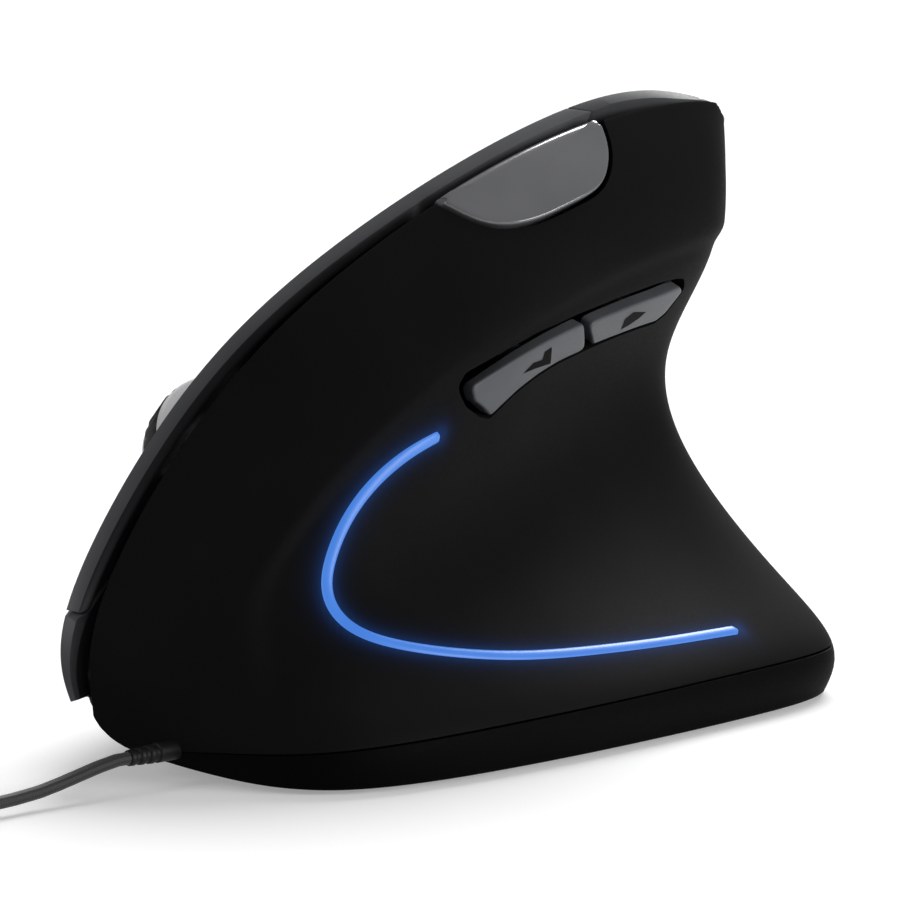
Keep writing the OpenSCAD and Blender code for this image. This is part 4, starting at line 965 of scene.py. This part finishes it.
class MOUSE_OT_thumb_shell(bpy.types.Operator):
    """Thumb shell with its scoop, openings and the light strip."""
    bl_idname = "mouse.thumb_shell"
    bl_label = "Thumb shell"

    def execute(self, context):
        sizes = context.scene.mouse_sizes
        low = RIM_W - 0.2 / SIDE_RUN
        o = shell_piece("thumb_shell_skin", THUMB, 170, 120, lambda s, q: (1 - s, q * low), thumb_t)
        soften(o)
        cut(o, prism("slot", THUMB_FRAME, fillet(SLOT_OUTLINE, 1.6), -9, 5))
        curve = along(DPI_LOW, np.linspace(0, 1, 40))
        notch = np.vstack([grow(curve, 0.6), [[-2.7, -9], [25.6, -9]]])
        cut(o, prism("notch", DPI_FRAME, notch, -9, 5))
        # Painted glow: each point of the shell gets an emission strength that fades with its distance from
        # the light strip
        line, _ = light_line(240)
        co = points_of(o) / MM
        near = np.full(len(co), 99.0)
        for k in range(0, len(line), 40):
            gap = np.linalg.norm(co[:, None] - line[None, k:k + 40], axis=2).min(1)
            near = np.minimum(near, gap)
        glow = sizes.light_glow * np.exp(-((near - 0.6).clip(0) / 0.75))
        o.data.attributes.new("painted_strip_glow", "FLOAT", "POINT").data.foreach_set("value", glow)
        finish_piece(o, "body", ["thumb_shell"], "soft_touch", 35)

        half = sizes.light_width / MM / 2
        count, around = 160, 14
        line, out = light_line(count + 1)
        across = np.cross(out, unit(np.gradient(line, axis=0)))
        run = run_of(line)
        end = np.minimum(run, run[-1] - run)
        width = half * np.sqrt(np.clip(1 - (1 - np.clip(end / half, 0, 1)) ** 2, 0.0004, 1))

        def tube(s, q):
            k = np.rint(q * count).astype(int)
            a = 2 * math.pi * s[:, None]
            w = width[k][:, None]
            return line[k] + w * np.cos(a) * across[k] + (0.42 * w * np.sin(a) - 0.1) * out[k]

        strip = grid_piece("light_strip", around, count, tube)
        close_up(strip)
        finish_piece(strip, "body", ["light_guide"], "light", 60)
        return {"FINISHED"}


class MOUSE_OT_finger_panels(bpy.types.Operator):
    """Main buttons and palm shell on the finger side."""
    bl_idname = "mouse.finger_panels"
    bl_label = "Finger panels"

    def execute(self, context):
        half = SEAM / 2 / RIDGE_RUN
        # On the ridge the palm seam runs aslant through the wall
        slant = 2.6 / RIDGE_RUN

        def left(s, q):
            u = mix(LEFT_FROM, palm_u(q * WHEEL_W) - half, s)
            return u, q * (split_w(u) - split_gap(u))

        def left_inside(s, q):
            u, w = left(s, q)
            w = w - q * split_draft(u)
            return u + slant * (1 - ease(w / 0.06)) * ease((s - 0.85) / 0.15), w

        def right(s, q):
            end = palm_edge(WHEEL_W, q) - half
            u = np.where(s < 1 / 6, mix(NOSE_U, RIGHT_FROM, s * 6), mix(RIGHT_FROM, end, (s * 6 - 1) / 5))
            return u, mix(np.maximum(split_w(u) + split_gap(u), 0), rim_of(u) - rim_free(u), q)

        def right_inside(s, q):
            u, w = right(s, q)
            return u, w + (1 - q) * split_draft(u)

        def palm(s, q):
            u = mix(palm_edge(0, q) + half, 1 - SEAM / RIDGE_RUN, s)
            return u, q * (rim_of(u) - 0.2 / SIDE_RUN)

        def palm_inside(s, q):
            u, w = palm(s, q)
            return u + slant * (1 - ease(w / 0.06)) * (1 - ease(s / 0.2)), w

        opening = fillet(CORNERS * np.array([24.6, 8.0]) / 2, 2.0)
        for name, outer, inner, nx, ny, body, slot_name, look in (
                ("left_button_panel", left, left_inside, 130, 36, "left_button", "panel_grey", "panel"),
                ("right_button_panel", right, right_inside, 132, 60, "right_button", "panel_grey", "panel"),
                ("palm_shell_panel", palm, palm_inside, 90, 80, "body", "soft_black", "palm")):
            o = shell_piece(name, FINGER, nx, ny, outer, panel_look, inner)
            soften(o)
            if body != "body":
                cut(o, prism("wheel_opening", WHEEL_FRAME, opening, -20, 20))
            finish_piece(o, body, ["palm_shell" if body == "body" else body], look)

        # Black trim that fills the groove round the nose, in line with the trim along the ridge
        count = 40

        def groove(s, q):
            u = mix(0.004, 0.13, q)
            k = np.rint(s * 4).astype(int) % 4
            on_thumb = skin(THUMB, u, 0 * u + 0.02, thumb_t(u, 0.02) + 0.1)
            on_finger = skin(FINGER, u, 0 * u + 0.03, panel_t(u, 0.03) + 1.1)
            inward = -0.8 * (outward(THUMB, u, 0 * u) + outward(FINGER, u, 0 * u))
            deep = (k == 1) | (k == 2)
            return np.where((k < 2)[:, None], on_finger, on_thumb) + deep[:, None] * inward

        fill = grid_piece("nose_trim", 4, count, groove)
        fill_ends(fill)
        finish_piece(fill, "body", [], "trim")
        return {"FINISHED"}


class MOUSE_OT_thumb_caps(bpy.types.Operator):
    """Thumb buttons with their arrows, and the speed button."""
    bl_idname = "mouse.thumb_caps"
    bl_label = "Thumb caps"

    def execute(self, context):
        roll = context.scene.mouse_sizes.cap_roll / MM
        start = (0.62, 0.33)
        for name, outline, body, arrow in (
                ("forward_cap", FORWARD_OUTLINE, "forward_button", FORWARD_ARROW),
                ("back_cap", BACK_OUTLINE, "back_button", BACK_ARROW)):
            edge = to_skin(THUMB_FRAME, fillet(outline, 1.0), start)
            o = cap_piece(name, edge, 0.1, roll, 1.7)
            finish_piece(o, body, [body], "thumb_button")
            mark = mark_piece(body + "_arrow", THUMB_FRAME, np.array(arrow), start, 0.13)
            finish_piece(mark, body, [], "arrow")
        low = to_skin(DPI_FRAME, along(DPI_LOW, np.linspace(0, 1, 60)), (0.62, 0.06))
        low = low[low[:, 1] > 0.4]
        # The top edge reaches over the groove to the ridge
        top = np.column_stack([np.linspace(low[-1, 0], low[0, 0], 30), np.full(30, -0.8)])
        o = cap_piece("speed_cap", fillet(np.vstack([low, top]), 0.5), 0.3, 0.45, 2.2, top_roll=1.5)
        finish_piece(o, "dpi_button", ["dpi_button"], "dpi")
        return {"FINISHED"}


class MOUSE_OT_wheel(bpy.types.Operator):
    """Scroll wheel: hub with its side rings and a ribbed tyre."""
    bl_idname = "mouse.wheel"
    bl_label = "Scroll wheel"

    def execute(self, context):
        ribs = context.scene.mouse_sizes.tyre_ribs
        o, ex, ey, n = WHEEL_FRAME
        centre = o + n * (WHEEL_RISE - WHEEL_R)
        axle = (centre, ex, -n, ey)
        r = WHEEL_R

        def mirrored(profile):
            return [[a, -b] for a, b in reversed(profile)]

        # Heights from the side of the hub
        hub = [[1.22, -0.4], [2.9, -0.4], [3.0, -0.3], [3.4, 0.9], [3.6, 1], [7.2, 1], [7.5, 0.9],
               [7.9, 0.15], [8.1, 0], [r - 0.75, 0], [r - 0.5, 0.1], [r - 0.3, 0.5], [r - 0.2, 1.1],
               [r - 2.1, 1.1]]
        hub = [[a, b - WHEEL_HALF] for a, b in hub]
        hub = hub + mirrored(hub) + [hub[0]]
        piece = lathe("wheel_hub_turned", axle, hub, 96)
        for a, b in 5.4 * circle(5):
            f = (centre + a * axle[1] + b * axle[2], *axle[1:])
            cut(piece, prism("hub_hole", f, 1.3 * circle(24), -8, 8))
        finish_piece(piece, "wheel", ["wheel_hub"], "hub", 30)
        side = WHEEL_HALF - 1.12
        tyre = [[r - 2.09, -side], [r - 0.5, -side], [r - 0.15, -side + 0.2], [r, -side + 0.6]]
        tyre = tyre + [[r, 0]] + mirrored(tyre) + [tyre[0]]

        def tread(radius, k, a):
            wave = 0.5 - 0.5 * np.cos(a * ribs)
            return radius - np.where((k >= 2) & (k <= 6), 0.45 * wave ** 3, 0)

        piece = lathe("wheel_tyre_ribbed", axle, tyre, ribs * 10, tread)
        finish_piece(piece, "wheel", ["wheel_tyre"], "tyre", 30)
        return {"FINISHED"}


class MOUSE_OT_base(bpy.types.Operator):
    """Base tray with its rim, floor, pad recesses and holes."""
    bl_idname = "mouse.base"
    bl_label = "Base tray"

    def execute(self, context):
        n_thumb, n_finger = 130, 150
        u = np.r_[np.linspace(0, 1, n_thumb + 1), 1 - np.arange(1, n_finger + 1) / n_finger]
        side = np.r_[np.full(n_thumb + 1, THUMB), np.full(n_finger, FINGER)]
        high = np.where(side == THUMB, RIM_W, rim_of(u))

        def ring(w, depth):
            w = np.broadcast_to(w, u.shape)
            out = np.empty((len(u), 3))
            for which in (THUMB, FINGER):
                pick = side == which
                out[pick] = skin(which, u[pick], w[pick], depth)
            return out

        foot = ring(1.0, 0)
        well = ring(WELL_W, WALL)
        well[:, 2] = np.maximum(WELL_Z, foot[:, 2] + 2.2)
        inner = [ring(mix(high, WELL_W, k), WALL) for k in (0.75, 0.5, 0.25, 0.05)]
        outer = [ring(high, 1.7), ring(high, 0.3)]
        outer += [ring(mix(high, 1.0, k), 0) for k in (0.03, 0.15, 0.3, 0.45, 0.6, 0.75, 0.88, 0.96)]

        def shrunk(p, share, z):
            q = p * share
            q[:, 2] = z
            return q

        bottom = [ring(1.0, 0.15), shrunk(foot, 0.985, np.maximum(FOOT_Z, foot[:, 2] * 0.9))]
        bottom += [shrunk(foot, share, FOOT_Z) for share in (0.8, 0.4, 0)]
        rows = np.array([shrunk(well, 0, WELL_Z), shrunk(well, 0.8, WELL_Z), well] + inner + outer + bottom)

        def place(s, q):
            k = np.rint(q * (len(rows) - 1)).astype(int)
            i = np.rint(s * len(u)).astype(int) % len(u)
            return rows[k, i]

        o = grid_piece("base_tray_skin", len(u), len(rows) - 1, place)
        close_up(o)
        floor = (np.zeros(3), X, Y, Z)
        pad_half, pad_r = 8, 3.1
        a = np.linspace(-math.pi / 2, math.pi / 2, 14)
        right = np.column_stack([pad_half + pad_r * np.cos(a), pad_r * np.sin(a)])
        pad = np.vstack([right, -right])
        for x, y, turn in ((-11, 36, 0), (-14, -45, 0), (23, -6, 90)):
            c, s = math.cos(math.radians(turn)), math.sin(math.radians(turn))
            cut(o, prism("pad_recess", floor, pad @ np.array([[c, s], [-s, c]]) + [x, y], -1, 0.8))
        for spot in ((2, -43), (2, -31), (-6, 24), (9, 12)):
            cut(o, prism("screw_hole", floor, circle(32) * 1.1 + spot, -1, 8))
            cut(o, prism("screw_head", floor, circle(32) * 2.2 + spot, -1, 1.6))
        cut(o, prism("sensor_window", floor, CORNERS * [4.5, 4] + [-2, -9], -1, 8))
        finish_piece(o, "body", ["base_tray"], "base", 35)
        return {"FINISHED"}


class MOUSE_OT_inner_parts(bpy.types.Operator):
    """Finishes for the pieces that stay as the frame has them."""
    bl_idname = "mouse.inner_parts"
    bl_label = "Inner parts"

    def execute(self, context):
        for look, names in CAD_FINISH.items():
            for name in names:
                paint(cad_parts[name], look)
        return {"FINISHED"}


class MOUSE_PT_panel(bpy.types.Panel):
    """Lists the steps that model the mouse."""
    bl_idname = "MOUSE_PT_panel"
    bl_label = "Vertical mouse"
    bl_space_type = "VIEW_3D"
    bl_region_type = "UI"
    bl_category = "Mouse"

    def draw(self, context):
        for key in MouseSizes.__annotations__:
            self.layout.prop(context.scene.mouse_sizes, key)
        for step in STEPS:
            self.layout.operator(step.bl_idname)


STEPS = (MOUSE_OT_stage, MOUSE_OT_cord, MOUSE_OT_thumb_shell, MOUSE_OT_finger_panels, MOUSE_OT_thumb_caps,
         MOUSE_OT_wheel, MOUSE_OT_base, MOUSE_OT_inner_parts)
CLASSES = (MouseSizes, *STEPS, MOUSE_PT_panel)


def register():
    for c in CLASSES:
        bpy.utils.register_class(c)
    bpy.types.Scene.mouse_sizes = bpy.props.PointerProperty(type=MouseSizes)


def unregister():
    del bpy.types.Scene.mouse_sizes
    for c in reversed(CLASSES):
        bpy.utils.unregister_class(c)


def main():
    register()
    for step in STEPS:
        group, name = step.bl_idname.split(".")
        getattr(getattr(bpy.ops, group), name)()


if __name__ == "__main__":
    main()
